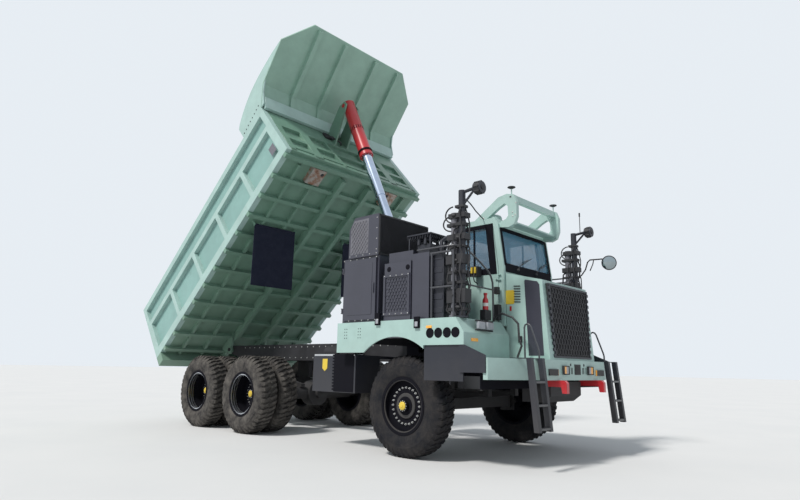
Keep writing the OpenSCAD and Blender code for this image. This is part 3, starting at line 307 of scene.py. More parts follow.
def metal(name, colour, rough, brushed=(1.0, 1.0, 60.0), scratch=0.15):
    """Bare or plated metal with fine marks along its work."""
    finish = Finish(name)
    marks = finish.noise(14.0, 5.0, 0.6, stretch=brushed)
    cloud = finish.noise(3.0, 4.0, 0.6)
    return finish.surface(
        Base_Color=finish.mix(cloud.over(0.3, 0.75), colour, toned(colour, 0.8)),
        Metallic=1.0,
        Roughness=rough + marks * scratch,
        Normal=finish.bump(marks, 0.12, 0.0006),
    )


def worn_steel(name):
    """Steel rubbed bright in its middle, with rust round it."""
    finish = Finish(name)
    patches = finish.noise(5.5, 7.0, 0.7)
    pits = finish.noise(70.0, 4.0, 0.6)
    stops = [(0.3, (0.13, 0.055, 0.03)), (0.44, (0.27, 0.15, 0.1)), (0.56, (0.42, 0.4, 0.37)),
             (0.8, (0.62, 0.62, 0.6))]
    return finish.surface(
        Base_Color=finish.node("ShaderNodeValToRGB", {"stops": stops}, {"Fac": patches}),
        Metallic=patches.over(0.42, 0.6) * 0.85,
        Roughness=0.68 - patches * 0.3,
        Normal=finish.bump(pits + patches, 0.4, 0.002),
    )


def glazing(name, colour, alpha):
    """Tinted window glass with faint dust, seen through to the cab."""
    finish = Finish(name)
    film = finish.noise(2.6, 5.0, 0.6)
    return finish.surface(
        Base_Color=finish.mix(film.over(0.4, 0.75) * 0.35, colour, toned(colour, 1.7)),
        Roughness=0.04 + film * 0.08,
        Alpha=alpha + film * 0.14,
        Specular_IOR_Level=0.7,
    )


def lens(name, colour, glow=0.0):
    """Moulded lamp lens with fine ribs."""
    finish = Finish(name)
    values = {"Vector": finish.where(), "Scale": 34.0, "Distortion": 0.3}
    ribs = finish.node("ShaderNodeTexWave", {"bands_direction": "X"}, values)
    cloud = finish.noise(9.0, 3.0, 0.5)
    return finish.surface(
        Base_Color=finish.mix(cloud, colour, toned(colour, 1.4, 0.03)),
        Roughness=0.16 + cloud * 0.1,
        Normal=finish.bump(ribs, 0.5, 0.002),
        Coat_Weight=0.6,
        Emission_Color=colour,
        Emission_Strength=glow,
    )


def fabric(name, colour):
    """Woven seat cloth, rubbed lighter on its crowns."""
    finish = Finish(name)
    values = {"Vector": finish.where() * (1.0, 1.0, 1.6), "Scale": 420.0}
    weave = finish.node("ShaderNodeTexVoronoi", {"feature": "F1"}, values)
    wear = finish.noise(6.0, 4.0, 0.6)
    return finish.surface(
        Base_Color=finish.mix(wear.over(0.35, 0.75), colour, toned(colour, 2.1)),
        Roughness=0.86 + wear * 0.1,
        Normal=finish.bump(weave, 0.5, 0.0008),
        Sheen_Weight=0.25,
    )


DUST = (0.33, 0.3, 0.26)
DARK_DUST = (0.12, 0.11, 0.1)
ALONG = (60.0, 60.0, 1.0)
SPECKLED = (8.0, 8.0, 8.0)
MADE = {}


def finish_of(name):
    """The finish of that name, made at its first use from its maker, its label and the maker's values."""
    if name not in MADE:
        looks = bpy.context.scene.truck_colours
        maker, *values = {
            "mint": (paint, "mint paint", looks.mint, DUST, 2.1, 0.22),
            # Under the bed the mint is darkened as painted shade, for the shade that falls beneath it
            "mint_deep": (paint, "mint paint of the floor", looks.mint_deep, (0.3, 0.36, 0.28), 5.0, 0.3),
            # The canopy wears a darker mint as painted shade, for the shade inside the canopy
            "canopy": (paint, "mint paint of the canopy", (0.28, 0.45, 0.37), (0.36, 0.42, 0.34), 9.0, 0.3),
            # Darker mint for sheets in the bed's pockets: painted shade of the recesses
            "shade": (paint, "mint paint of the pockets", (0.24, 0.42, 0.39), DUST, 2.1, 0.1),
            "black": (paint, "black paint", looks.black, DARK_DUST, 2.4, 0.4, 0.34, 0.03, 0.3),
            "soot": (paint, "dull black", (0.022, 0.022, 0.026), DARK_DUST, 2.2, 0.35, 0.55, 0.02, 0.0),
            # Near-black painted shade, for the deep shade in the rims' wells, the arches and round holes;
            # some real black trim wears it too
            "well": (paint, "shaded black", (0.006, 0.006, 0.01), (0.02, 0.02, 0.022), 1.0, 0.1, 0.75, 0.0,
                     0.0, 0.12),
            "skirt": (paint, "skirt black", (0.015, 0.017, 0.027), DARK_DUST, 1.9, 0.25, 0.45, 0.02, 0.1),
            "tube": (paint, "tube black", (0.05, 0.052, 0.062), DARK_DUST, 1.9, 0.2, 0.3, 0.03, 0.3),
            "grey": (paint, "mast grey", (0.15, 0.15, 0.175), DARK_DUST, 2.0, 0.3, 0.5, 0.08, 0.0),
            "plastic": (paint, "grey plastic", (0.035, 0.037, 0.045), DARK_DUST, 1.5, 0.25, 0.5, 0.0, 0.0),
            "white": (paint, "white band", (0.75, 0.75, 0.73), DUST, 1.2, 0.2, 0.4, 0.05, 0.2),
            "red": (paint, "red paint", looks.red, DARK_DUST, 1.2, 0.2, 0.3, 0.05, 0.4),
            "yellow": (paint, "yellow paint", (0.72, 0.52, 0.05), DUST, 1.0, 0.2, 0.42, 0.05, 0.1),
            "iron": (iron, "chassis iron", (0.012, 0.012, 0.015), (0.05, 0.047, 0.045)),
            "engine": (iron, "engine iron", (0.05, 0.05, 0.053), DARK_DUST),
            "tyre": (rubber, "tyre rubber", (0.012, 0.013, 0.017), (0.052, 0.047, 0.044), 0.6),
            "dusty": (rubber, "dusty tyre rubber", (0.022, 0.021, 0.022), (0.15, 0.138, 0.125), 0.8),
            "flap": (rubber, "flap rubber", (0.011, 0.014, 0.03), (0.032, 0.036, 0.056), 0.4, 24.0),
            "silver": (metal, "silver tube", (0.72, 0.73, 0.74), 0.32, ALONG, 0.14),
            "chrome": (metal, "chromed rod", (0.5, 0.58, 0.72), 0.14, (40.0, 40.0, 1.0), 0.06),
            "bolt": (metal, "bolt heads", (0.58, 0.58, 0.57), 0.38, SPECKLED, 0.25),
            # Silver metal on the twin rims' steps: painted highlight for the bright reflections on the black
            # rims, along with the metal's own reflections
            "rim_edge": (metal, "polished rim edge", (0.72, 0.74, 0.78), 0.26, SPECKLED, 0.2),
            "mirror": (metal, "mirror glass", (0.34, 0.4, 0.42), 0.08, (1.0, 1.0, 1.0), 0.02),
            "steel": (worn_steel, "bare steel pads"),
            "glass": (glazing, "window glass", (0.045, 0.14, 0.23), 0.42),
            "screen": (glazing, "windscreen glass", (0.1, 0.3, 0.47), 0.28),
            "amber": (lens, "amber lens", (0.8, 0.33, 0.03), 0.1),
            "clear": (lens, "clear lens", (0.26, 0.27, 0.3)),
            "seat": (fabric, "seat cloth", (0.035, 0.036, 0.045)),
        }[name]
        MADE[name] = maker(*values)
    return MADE[name]


def square_to(axis):
    """Two directions square to an axis and to each other."""
    start = Vector((0, 0, 1)) if abs(axis.z) < 0.9 else Vector((1, 0, 0))
    one = axis.cross(start).normalized()
    return one, axis.cross(one)


def circle(centre, one, two, radius, sides):
    """Evenly spaced points of a circle in the plane of two directions."""
    return [centre + (one * cos(t) + two * sin(t)) * radius for t in turns(sides)]


class Shape:
    """Solids gathered in one mesh, drawn in a place's own coordinates, and mirrored across if both."""

    def __init__(self, place=truck, both=False):
        self.place = place
        self.both = both
        self.mesh = bmesh.new()

    def loft(self, rings, caps=True, closed=False):
        """Joins rings of points, which all have the same number, into one skin."""
        for side in (1, -1) if self.both else (1,):
            rows = [[self.mesh.verts.new((side * p[0], p[1], p[2])) for p in ring] for ring in rings]
            for low, high in zip(rows, rows[1:] + (rows[:1] if closed else [])):
                for i in range(len(low)):
                    self.mesh.faces.new((low[i - 1], low[i], high[i], high[i - 1]))
            if caps and not closed:
                self.mesh.faces.new(rows[0][::-1])
                self.mesh.faces.new(rows[-1])

    def slab(self, outline, axis, start, end):
        """An outline drawn square to an axis (0 across, 1 along, 2 up) from start to end along it."""
        self.loft([[self.place(*p[:axis], depth, *p[axis:]) for p in outline] for depth in (start, end)])

    def boxes(self, *rows):
        """Blocks, each given by its two ends across, along and up."""
        for x0, x1, y0, y1, z0, z1 in rows:
            self.slab([(x0, y0), (x1, y0), (x1, y1), (x0, y1)], 2, z0, z1)

    def tube(self, path, radius, sides=10):
        """A round bar or hose through the points."""
        points = [self.place(*p) for p in path]
        rings = []
        normal = None
        for before, point, after in zip(points[:1] + points, points, points[1:] + points[-1:]):
            along = (after - before).normalized()
            normal = normal or square_to(along)[0]
            normal = (normal - along * normal.dot(along)).normalized()
            rings.append(circle(point, normal, along.cross(normal), radius, sides))
        self.loft(rings)

    def turned(self, centre, axis, profile, sides=24, hollow=False):
        """A profile of (radius, distance) turned about an axis; a hollow one is a closed ring."""
        axis = Vector(axis).normalized()
        one, two = square_to(axis)
        rings = []
        for radius, distance in profile:
            rings.append(circle(self.place(*centre) + axis * distance, one, two, radius, sides))
        self.loft(rings, caps=not hollow, closed=hollow)

    def bolts(self, points, axis, radius=0.014, height=0.012):
        """Hexagon bolt heads with washers."""
        for point in points:
            self.turned(point, axis, [(radius * 1.35, -0.002), (radius * 1.35, height * 0.3)], 12)
            self.turned(point, axis, [(radius, 0.0), (radius, height * 0.85), (radius * 0.8, height)], 6)

    def piece(self, name, finish, slot, bevel=0.0, segments=1, body=None):
        """Makes the piece, on its body, with its finish; its slot is not used."""
        bmesh.ops.recalc_face_normals(self.mesh, faces=self.mesh.faces)
        data = bpy.data.meshes.new(name)
        self.mesh.to_mesh(data)
        self.mesh.free()
        data.materials.append(finish_of(finish))
        data.shade_smooth()
        data.set_sharp_from_angle(angle=radians(38))
        made = bpy.data.objects.new(name, data)
        bpy.context.scene.collection.objects.link(made)
        if bevel:
            filled(made.modifiers.new("rounded edges", "BEVEL"), width=bevel, segments=segments,
                   limit_method="ANGLE", angle_limit=radians(40))
        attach(made, body or BODY_OF.get(self.place, "chassis"))
        return made


def shapes(count, place=truck, both=False):
    """Several empty shapes in one place."""
    return [Shape(place, both) for _ in range(count)]


def colour(name, description, default):
    """A colour of the dressing that a user can change."""
    return FloatVectorProperty(name=name, description=description, default=default, subtype="COLOR", size=3,
                               min=0, max=1)


class TruckColours(bpy.types.PropertyGroup):
    mint: colour("Mint paint", "Paint of the cab, decks and bed", (0.385, 0.55, 0.515))
    # Darker copy of the mint: painted shade under the bed
    mint_deep: colour("Floor mint with painted shade", "Mint under the bed, darkened as painted shade", (0.155, 0.285, 0.215))
    black: colour("Black paint", "Paint of the cabinets and masts", (0.042, 0.043, 0.062))
    red: colour("Red paint", "Paint of the tow hooks and the hoist's barrel", (0.5, 0.018, 0.025))


class TruckTyreSizes(bpy.types.PropertyGroup):
    lugs: IntProperty(
        name="Lugs", description="Tread lugs on each shoulder of a tyre", default=44, min=20, max=60)
    lug_depth: FloatProperty(
        name="Tread depth", description="Depth of the tread", default=0.04, min=0.01, max=0.06,
        unit="LENGTH")


class TruckTrimSizes(bpy.types.PropertyGroup):
    cell: FloatProperty(
        name="Grille cell", description="Width of one hexagon of the front grille", default=0.108,
        min=0.03, max=0.2, unit="LENGTH")
    louvres: IntProperty(
        name="Louvres", description="Louvres on each side of the hood", default=7, min=2, max=20)
    fins: IntProperty(
        name="Cooler ribs", description="Upright ribs on the cooler's front", default=46, min=10, max=90)


def pairs(*names):
    """The right and the left node of each name."""
    return tuple(name + hand for name in names for hand in ("_right", "_left"))


# Which finish each kept node of the part wears
NODE_FINISH = {
    "mint": ("bumper", "hood", "cab_shell", "roof_frame") + pairs("deck", "door", "bed_side"),
    "canopy": ("bed_canopy",),
    "mint_deep": ("bed_floor", "bed_wall_front"),
    "black": ("ladders", "cabinet", "cabinet_door", "cooler", "deck_boxes", "mirror"),
    "skirt": ("side_skirts", "side_boxes", "masts"),
    "iron": ("frame", "front_axle", "drive_axles", "suspension") + pairs("knuckle"),
    "soot": ("grille",),
    # The rims wear near-black painted shade, for the shade deep in the wheels
    "well": pairs("front_rim", "mid_rims", "rear_rims"),
    "engine": ("engine_block",),
    "red": ("tow_hooks", "hoist_barrel"),
    "glass": ("door_right_glass", "door_left_glass"),
    "screen": ("cab_glass",),
    "tube": ("handrails",),
    "amber": ("front_lamps",),
    "tyre": pairs("front_tyre", "mid_tyres", "rear_tyres"),
    "steel": ("rest_pads",),
    "chrome": ("hoist_stage_1", "hoist_stage_2", "hoist_stage_3", "hoist_rod"),
    "flap": ("bed_flaps",),
    "seat": ("cab_interior",),
}


class TRUCK_OT_finishes(bpy.types.Operator):
    """Gives every kept node of the part its finish"""
    bl_idname = "truck.finishes"
    bl_label = "Finishes of the nodes"

    def execute(self, context):
        for finish, names in NODE_FINISH.items():
            for name in names:
                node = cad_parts[name]
                if not node.material_slots:
                    node.data.materials.append(finish_of(finish))
                for place in node.material_slots:
                    place.material = finish_of(finish)
        return {"FINISHED"}


def tyre_height(a, depth):
    """Radius of the tread at a from the tyre's outer face, lowered by depth."""
    edge = min(a, TYRE_W - a)
    drop = 0.055 * (max(0.0, 0.085 - edge) / 0.05) ** 1.6
    return TYRE_R - 0.0008 - drop - depth


def tyre_body(shape, place, depth):
    """Carcass of one tyre: tread base, ribbed sidewalls and bead."""
    half = [(a, RIM_R + rise) for a, rise in (
        (0.062, 0.0), (0.04, 0.018), (0.028, 0.045), (0.012, 0.1), (0.002, 0.165), (0.0005, 0.2),
        (0.006, 0.245), (0.004, 0.25), (0.008, 0.262), (0.018, 0.3), (0.026, 0.335))]
    half += [(0.052, tyre_height(0.052, depth)), (0.085, tyre_height(0.086, depth))]
    profile = half + [(TYRE_W - a, r) for a, r in half[::-1]]
    shape.loft([[place(a, r, t) for a, r in profile] for t in turns(96)], caps=False, closed=True)


# Tread lugs: phase, then distance from the tyre's outer face, half width and skew, in shares of a pitch
LUGS = [
    (0.0, [(0.034, 0.27, 0.0), (0.085, 0.29, 0.05), (0.135, 0.25, 0.22), (0.19, 0.2, 0.4)]),
    (0.5, [(0.182, 0.17, -0.1), (0.215, 0.24, 0.02), (0.25, 0.24, 0.1)]),
    (0.0, [(0.26, 0.24, 0.42), (0.295, 0.24, 0.5), (0.328, 0.17, 0.6)]),
    (0.5, [(0.32, 0.2, 0.1), (0.375, 0.25, 0.26), (0.425, 0.29, 0.4), (0.476, 0.27, 0.45)]),
]
# Buttress under each shoulder lug, down the sidewall: distance, depth below the crown and half width
BUTTRESS = [(0.037, 0.068, 0.26), (0.022, 0.1, 0.22), (0.012, 0.145, 0.13)]


def tread_lugs(shape, place, lugs, depth):
    """Staggered shoulder and centre lugs; their tops follow the tyre's crown."""
    pitch = 2 * pi / lugs
    for k in range(lugs):
        for phase, rows in LUGS:
            rings = []
            for a, half, skew in rows:
                middle = (k + phase + skew) * pitch
                low, high = tyre_height(a, depth + 0.008), tyre_height(a, 0.0)
                foot, top = half * 1.15 * pitch, half * 0.92 * pitch
                rings.append([place(a, low, middle - foot), place(a, low, middle + foot),
                              place(a, high, middle + top), place(a, high, middle - top)])
            shape.loft(rings)
        for face, inward, phase in ((0.0, 1, 0.0), (TYRE_W, -1, 0.95)):
            rings = []
            for a, drop, half in BUTTRESS:
                out, back = face + inward * (a - 0.003), face + inward * (a + 0.03)
                rings.append([place(d, TYRE_R - drop, (k + phase + turn * half) * pitch)
                              for d, turn in ((out, -1), (out, 1), (back, 1), (back, -1))])
            shape.loft(rings)


class TRUCK_OT_tyres(bpy.types.Operator):
    """Tyres with a carcass, tread lugs and ribbed sidewalls, in place of the plain rings"""
    bl_idname = "truck.tyres"
    bl_label = "Tyres"

    def execute(self, context):
        sizes = context.scene.truck_tyre_sizes
        for name, side, outer, f, twin in WHEELS:
            shape = Shape()
            depth = sizes.lug_depth * (1.0 if twin else 0.5)
            for face in (outer, outer - TWIN_STEP) if twin else (outer,):
                tyre_body(shape, wheel(side, face, f), depth)
                tread_lugs(shape, wheel(side, face, f), sizes.lugs, depth)
            node = name.replace("_", "_tyres_" if twin else "_tyre_")
            made = shape.piece(node + "_treaded", "dusty" if twin else "tyre", "tyre_rubber",
                               body=("wheels_" if twin else "wheel_") + name)
            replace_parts(made, node)
        return {"FINISHED"}


# Steps of a rim's well: distance from its outer face, radius and width; a front rim has the first alone
RIM_STEPS = [(0.04, 0.462, 0.022), (0.1, 0.45, 0.02), (0.16, 0.456, 0.016)]
# Radius of the rim's well, and of the circle of the hub's screws
WELL_R = 0.483
SCREWS_R = 0.091


class TRUCK_OT_wheel_trim(bpy.types.Operator):
    """Rim steps, bolt rings and hub caps of the wheels"""
    bl_idname = "truck.wheel_trim"
    bl_label = "Wheel trim"

    def execute(self, context):
        for name, side, outer, f, twin in WHEELS:
            body = ("wheels_" if twin else "wheel_") + name
            disc, ring_r, face = (0.435, 0.3, -0.305) if twin else (0.15, 0.335, -0.04)
            studs, rim, caps, screws = shapes(4, wheel(side, outer, f))
            centre, out = (0, 0, 0), (side, 0, 0)
            for t in turns(24):
                for profile, sides in (([(0.021, 0.0), (0.021, 0.01)], 8),
                                       ([(0.016, 0.0), (0.016, 0.026), (0.009, 0.028), (0.009, 0.042)], 6)):
                    studs.turned((disc - 0.001, ring_r, t), out, profile, sides)
            studs.piece(name + "_wheel_nuts", "bolt", "bare_steel", body=body)
            for a, r, wide in RIM_STEPS if twin else RIM_STEPS[:1]:
                section = ((a, WELL_R), (a, r), (a + wide, r), (a + wide, WELL_R))
                rim.loft([[rim.place(*p, t) for p in section] for t in turns(72)], caps=False, closed=True)
            rim.turned(centre, out, [(0.235, -disc - 0.005), (0.235, -disc + 0.022), (0.225, -disc + 0.03),
                                     (0.19, -disc + 0.03)], 48)
            # The twin rims' steps are silver as painted highlight; the front rims' are dull black
            rim.piece(name + "_rim_steps", "rim_edge" if twin else "soot", "chassis_black", body=body)
            caps.turned(centre, out, [(0.078, face - 0.01), (0.078, face + 0.016), (0.066, face + 0.026),
                                      (0.03, face + 0.028), (0.028, face + 0.036)], 24)
            caps.piece(name + "_hub_cap", "yellow", "amber_lens", 0.002, body=body)
            screws.bolts([(-face, SCREWS_R, t) for t in turns(12)], out, 0.008, 0.01)
            screws.piece(name + "_hub_screws", "bolt", "bare_steel", body=body)
        return {"FINISHED"}


def cell_walls(a, b, cell, half):
    """Upper left, upper right and right walls of a hexagon at a, b: low end, high end and outline."""
    r = cell / sqrt(3)
    ends = [(a + r * sin(t), b + r * cos(t)) for t in map(radians, (-60, 0, 60, 120))]
    walls = []
    for (a0, b0), (a1, b1) in zip(ends, ends[1:]):
        n = Vector((b1 - b0, a0 - a1)).normalized() * half
        walls.append((min(b0, b1), max(b0, b1), [(a0 - n.x, b0 - n.y), (a1 - n.x, b1 - n.y),
                                                 (a1 + n.x, b1 + n.y), (a0 + n.x, b0 + n.y)]))
    return walls


def grille_half(z):
    """Half the width of the grille's opening at height z."""
    return 0.72 + 0.07 * (z - 1.87) / 1.36


class TRUCK_OT_grille(bpy.types.Operator):
    """Hexagon mesh and stepped edge of the front grille"""
    bl_idname = "truck.grille"
    bl_label = "Front grille"

    def execute(self, context):
        cell = context.scene.truck_trim_sizes.cell
        mesh = Shape(grille)
        z, row = 1.89, 0
        while z < 3.22:
            half = grille_half(z) - 0.03
            count = int(half / cell) + 1
            for i in range(-count, count + 1):
                x = (i + row % 2 / 2) * cell
                for low, high, outline in cell_walls(x, z, cell, 0.008) if abs(x) <= half else ():
                    if low >= 1.875 and high <= 3.225:
                        mesh.slab(outline, 1, -0.004, 0.016)
            z += cell * sqrt(3) / 2
            row += 1
        mesh.piece("front_grille_mesh", "soot", "grey_plastic")
        edge = Shape(grille, both=True)
        back, front = -0.005, 0.022
        zs = steps(1.872, 3.228, 13)
        for low, high in zip(zs, zs[1:]):
            middle = (low + high) / 2
            inner, notch, outer = (grille_half(middle) + d for d in (-0.035, -0.008, 0.034))
            edge.slab([(inner, low), (outer, low), (outer, middle), (notch, middle + 0.012), (notch, high),
                       (inner, high)], 1, back, front)
        edge.both = False
        edge.boxes((-0.79, 0.79, back, front, 3.19, 3.23))
        edge.slab([(-0.72, 1.87), (0.72, 1.87), (0.722, 1.905), (-0.722, 1.905)], 1, back, front)
        edge.piece("front_grille_edge", "skirt", "grey_plastic", 0.003)
        return {"FINISHED"}


class TRUCK_OT_hood_trim(bpy.types.Operator):
    """Dark side strips, louvres and latches of the hood"""
    bl_idname = "truck.hood_trim"
    bl_label = "Hood trim"

    def execute(self, context):
        strips, vents = shapes(2, both=True)
        strips.slab([(1.99, 1.9), (2.3, 1.9), (2.245, 3.2), (2.2, 3.262), (1.95, 3.316), (1.93, 3.29)],
                    0, HOOD_HALF - 0.002, HOOD_HALF + 0.004)
        for k in range(context.scene.truck_trim_sizes.louvres):
            z = 3.22 - k * 0.05
            vents.slab([(1.7, z), (1.84, z - 0.01), (1.84, z - 0.028), (1.7, z - 0.018)], 0,
                       HOOD_HALF - 0.002, HOOD_HALF + 0.012)
        vents.boxes((HOOD_HALF, HOOD_HALF + 0.02, 1.78, 1.86, 2.14, 2.26))
        strips.piece("hood_side_strips", "black", "black_paint")
        vents.piece("hood_louvres", "soot", "black_paint", 0.002)
        return {"FINISHED"}


class TRUCK_OT_bumper_trim(bpy.types.Operator):
    """Lamps, slots and centre panel of the bumper"""
    bl_idname = "truck.bumper_trim"
    bl_label = "Bumper trim"

    def execute(self, context):
        face, back = BUMPER_F, BUMPER_F - 0.004
        dark, rims, glassy, amber = shapes(4, both=True)
        dark.boxes((0.79, 1.11, back, face + 0.028, 1.555, 1.665))
        dark.boxes(*[(x, x + 0.022, back, face + 0.004, 1.58, 1.7) for x in (0.2, 0.245, 0.34)])
        dark.turned((0.27, face, 1.75), (0, -1, 0), [(0.026, -0.003), (0.026, 0.004)], 20)
        dark.both = False
        dark.boxes((-0.125, 0.125, back, face + 0.006, 1.57, 1.76))
        for z in steps(1.6, 1.73, 6):
            dark.boxes((-0.1, 0.1, face + 0.005, face + 0.014, z - 0.006, z + 0.006))
        dark.piece("bumper_slots", "soot", "grey_plastic", 0.002)
        for z in (1.578, 1.722):
            rims.boxes((0.4, 0.6, face, face + 0.045, z - 0.008, z + 0.008))
        for x in (0.405, 0.595):
            rims.boxes((x - 0.008, x + 0.008, face, face + 0.045, 1.57, 1.73))
        rims.piece("lamp_frames", "soot", "grey_plastic", 0.002)
        glassy.boxes((0.42, 0.5, face + 0.02, face + 0.038, 1.585, 1.715))
        glassy.piece("lamp_lenses_clear", "clear", "amber_lens", 0.003)
        amber.boxes((0.505, 0.585, face + 0.02, face + 0.038, 1.585, 1.715))
        amber.piece("lamp_lenses_amber", "amber", "amber_lens", 0.003)
        return {"FINISHED"}


class TRUCK_OT_cab_trim(bpy.types.Operator):
    """Window surrounds, wipers and door handles of the cab"""
    bl_idname = "truck.cab_trim"
    bl_label = "Cab trim"

    def execute(self, context):
        band = Shape(screen)
        skin = (-0.001, 0.004)
        band.boxes((-0.9, 0.9, *skin, 3.51, 3.69), (-0.9, 0.9, *skin, 4.35, 4.43))
        band.both = True
        band.boxes((0.84, 0.92, *skin, 3.64, 4.4))
        band.piece("windscreen_surround", "well", "black_paint")
        wipers = Shape(screen)
        for x in (-0.45, 0.25):
            wipers.tube([(x, 0.02, 3.6), (x + 0.02, 0.035, 3.66), (x + 0.22, 0.03, 3.78),
                         (x + 0.42, 0.022, 3.86)], 0.008, 8)
            wipers.tube([(x + 0.16, 0.016, 3.72), (x + 0.62, 0.014, 3.93)], 0.007, 6)
            wipers.turned((x, 0.01, 3.6), (0, -1, 0.1), [(0.03, -0.012), (0.03, 0.012), (0.018, 0.03)], 16)
        wipers.piece("windscreen_wipers", "soot", "black_paint")
        opening = [(0.48, 3.6), (1.2, 3.6), (1.11, 4.42), (0.48, 4.42)]
        rim = [(0.42, 3.475), (1.365, 3.475), (1.275, 4.5), (0.42, 4.5)]
        for side, body in ((-1, "door_right"), (1, "door_left")):
            trim, handle = shapes(2, lambda x, f, z: truck(side * x, f, z))
            for i in range(4):
                trim.slab([opening[i - 1], opening[i], rim[i], rim[i - 1]], 0, DOOR_X - 0.001, DOOR_X + 0.005)
            trim.boxes((DOOR_X - 0.034, DOOR_X - 0.006, 0.8, 0.835, 3.6, 4.42))
            trim.piece(body + "_window_surround", "well", "black_paint", body=body)
            handle.boxes((DOOR_X, DOOR_X + 0.006, 0.47, 0.66, 3.31, 3.39))
            handle.tube([(DOOR_X + d, f, 3.35) for d, f in
                         ((0.004, 0.49), (0.028, 0.51), (0.028, 0.62), (0.004, 0.64))], 0.009, 8)
            handle.piece(body + "_handle", "soot", "black_paint", body=body)
        return {"FINISHED"}


# Line of the front wheel's arch: forward of the axle and up
ARCH = [(-0.93, 2.1), (-0.56, 2.31), (-0.22, 2.42), (0.24, 2.42), (0.56, 2.3), (0.86, 2.13)]


# Sockets of a deck's side, filled with dark discs as painted shade, and the plates that its bolts hold
SOCKETS_F = (0.886, 1.076, 1.271, 1.456)
SOCKETS_Z = 2.257
PLATES_F = (-1.35, -0.95)
PLATES_Z = 2.3


class TRUCK_OT_deck_trim(bpy.types.Operator):
    """Round sockets of painted shade, lamps and bolts of the decks, and arch liners of painted shade"""
    bl_idname = "truck.deck_trim"
    bl_label = "Deck trim"

    def execute(self, context):
        dark, amber, clear, liners, guards, bolts = shapes(6, both=True)
        out = DECK_HALF
        # Near-black discs in the round holes: painted shade
        for f in SOCKETS_F:
            dark.turned((out, f, SOCKETS_Z), (1, 0, 0), [(0.09, -0.012), (0.09, 0.004), (0.082, 0.007),
                                                     (0.076, 0.0015)], 28)
        for f, z0, z1 in ((-0.42, 2.44, 2.68), (0.59, 2.35, 2.56)):
            dark.boxes((out - 0.002, out + 0.04, f - 0.06, f + 0.06, z0, z1))
            clear.boxes((out + 0.038, out + 0.046, f - 0.035, f + 0.035, z0 + 0.03, z0 + 0.12))
        amber.boxes((out - 0.002, out + 0.012, 0.8, 0.93, 2.345, 2.39),
                    (2.01, 2.2, 1.628, 1.645, 2.11, 2.165))
        dark.piece("deck_sockets", "well", "grey_plastic")
        # Near-black liners in the arches and a cross sheet behind the bumper fill where shade falls: painted
        # shade
        inner, wall = 0.6, 0.62
        for (f0, z0), (f1, z1) in zip(ARCH, ARCH[1:]):
            liners.slab([(f0, z0), (f1, z1), (f1, z1 + 0.02), (f0, z0 + 0.02)], 0, inner, 2.4)
        liners.slab(ARCH + [(0.86, 1.98), (-0.93, 1.98)], 0, inner, wall)
        liners.boxes((inner, wall, -1.28, 0.95, 1.5, 2.12), (inner, 2.38, 1.93, 1.94, 1.31, 1.81))
        liners.piece("arch_shade_liners", "well", "grey_plastic")
        guards.slab([(-0.36, 2.2), (0.52, 2.19), (0.56, 2.22), (0.5, 2.27), (-0.2, 2.28)], 0, 2.2, 2.38)
        guards.piece("mudguard_strips", "grey", "black_paint", 0.006)
        amber.piece("deck_marker_lamps", "amber", "amber_lens", 0.003)
        clear.piece("deck_bracket_lamps", "clear", "amber_lens", 0.002)
        bolts.bolts([(out, f + a, PLATES_Z + b) for f in PLATES_F for a in (-0.03, 0.03)
                     for b in (-0.09, -0.03, 0.03, 0.09)], (1, 0, 0), 0.008, 0.006)
        bolts.piece("deck_bolts", "soot", "grey_plastic")
        # Lamps on the nose plate of the right deck, in a bracket
        nose, squares = shapes(2)
        nose.boxes(*[(-2.08, -1.57, 1.625, 1.665, z, z + 0.03) for z in (2.3, 2.46)])
        squares.boxes(*[(x, x + 0.2, 1.64, 1.7, 2.33, 2.46) for x in (-2.06, -1.8)])
        nose.piece("nose_lamp_bracket", "soot", "grey_plastic", 0.003)
        squares.piece("nose_lamps", "clear", "amber_lens", 0.01, 2)
        return {"FINISHED"}


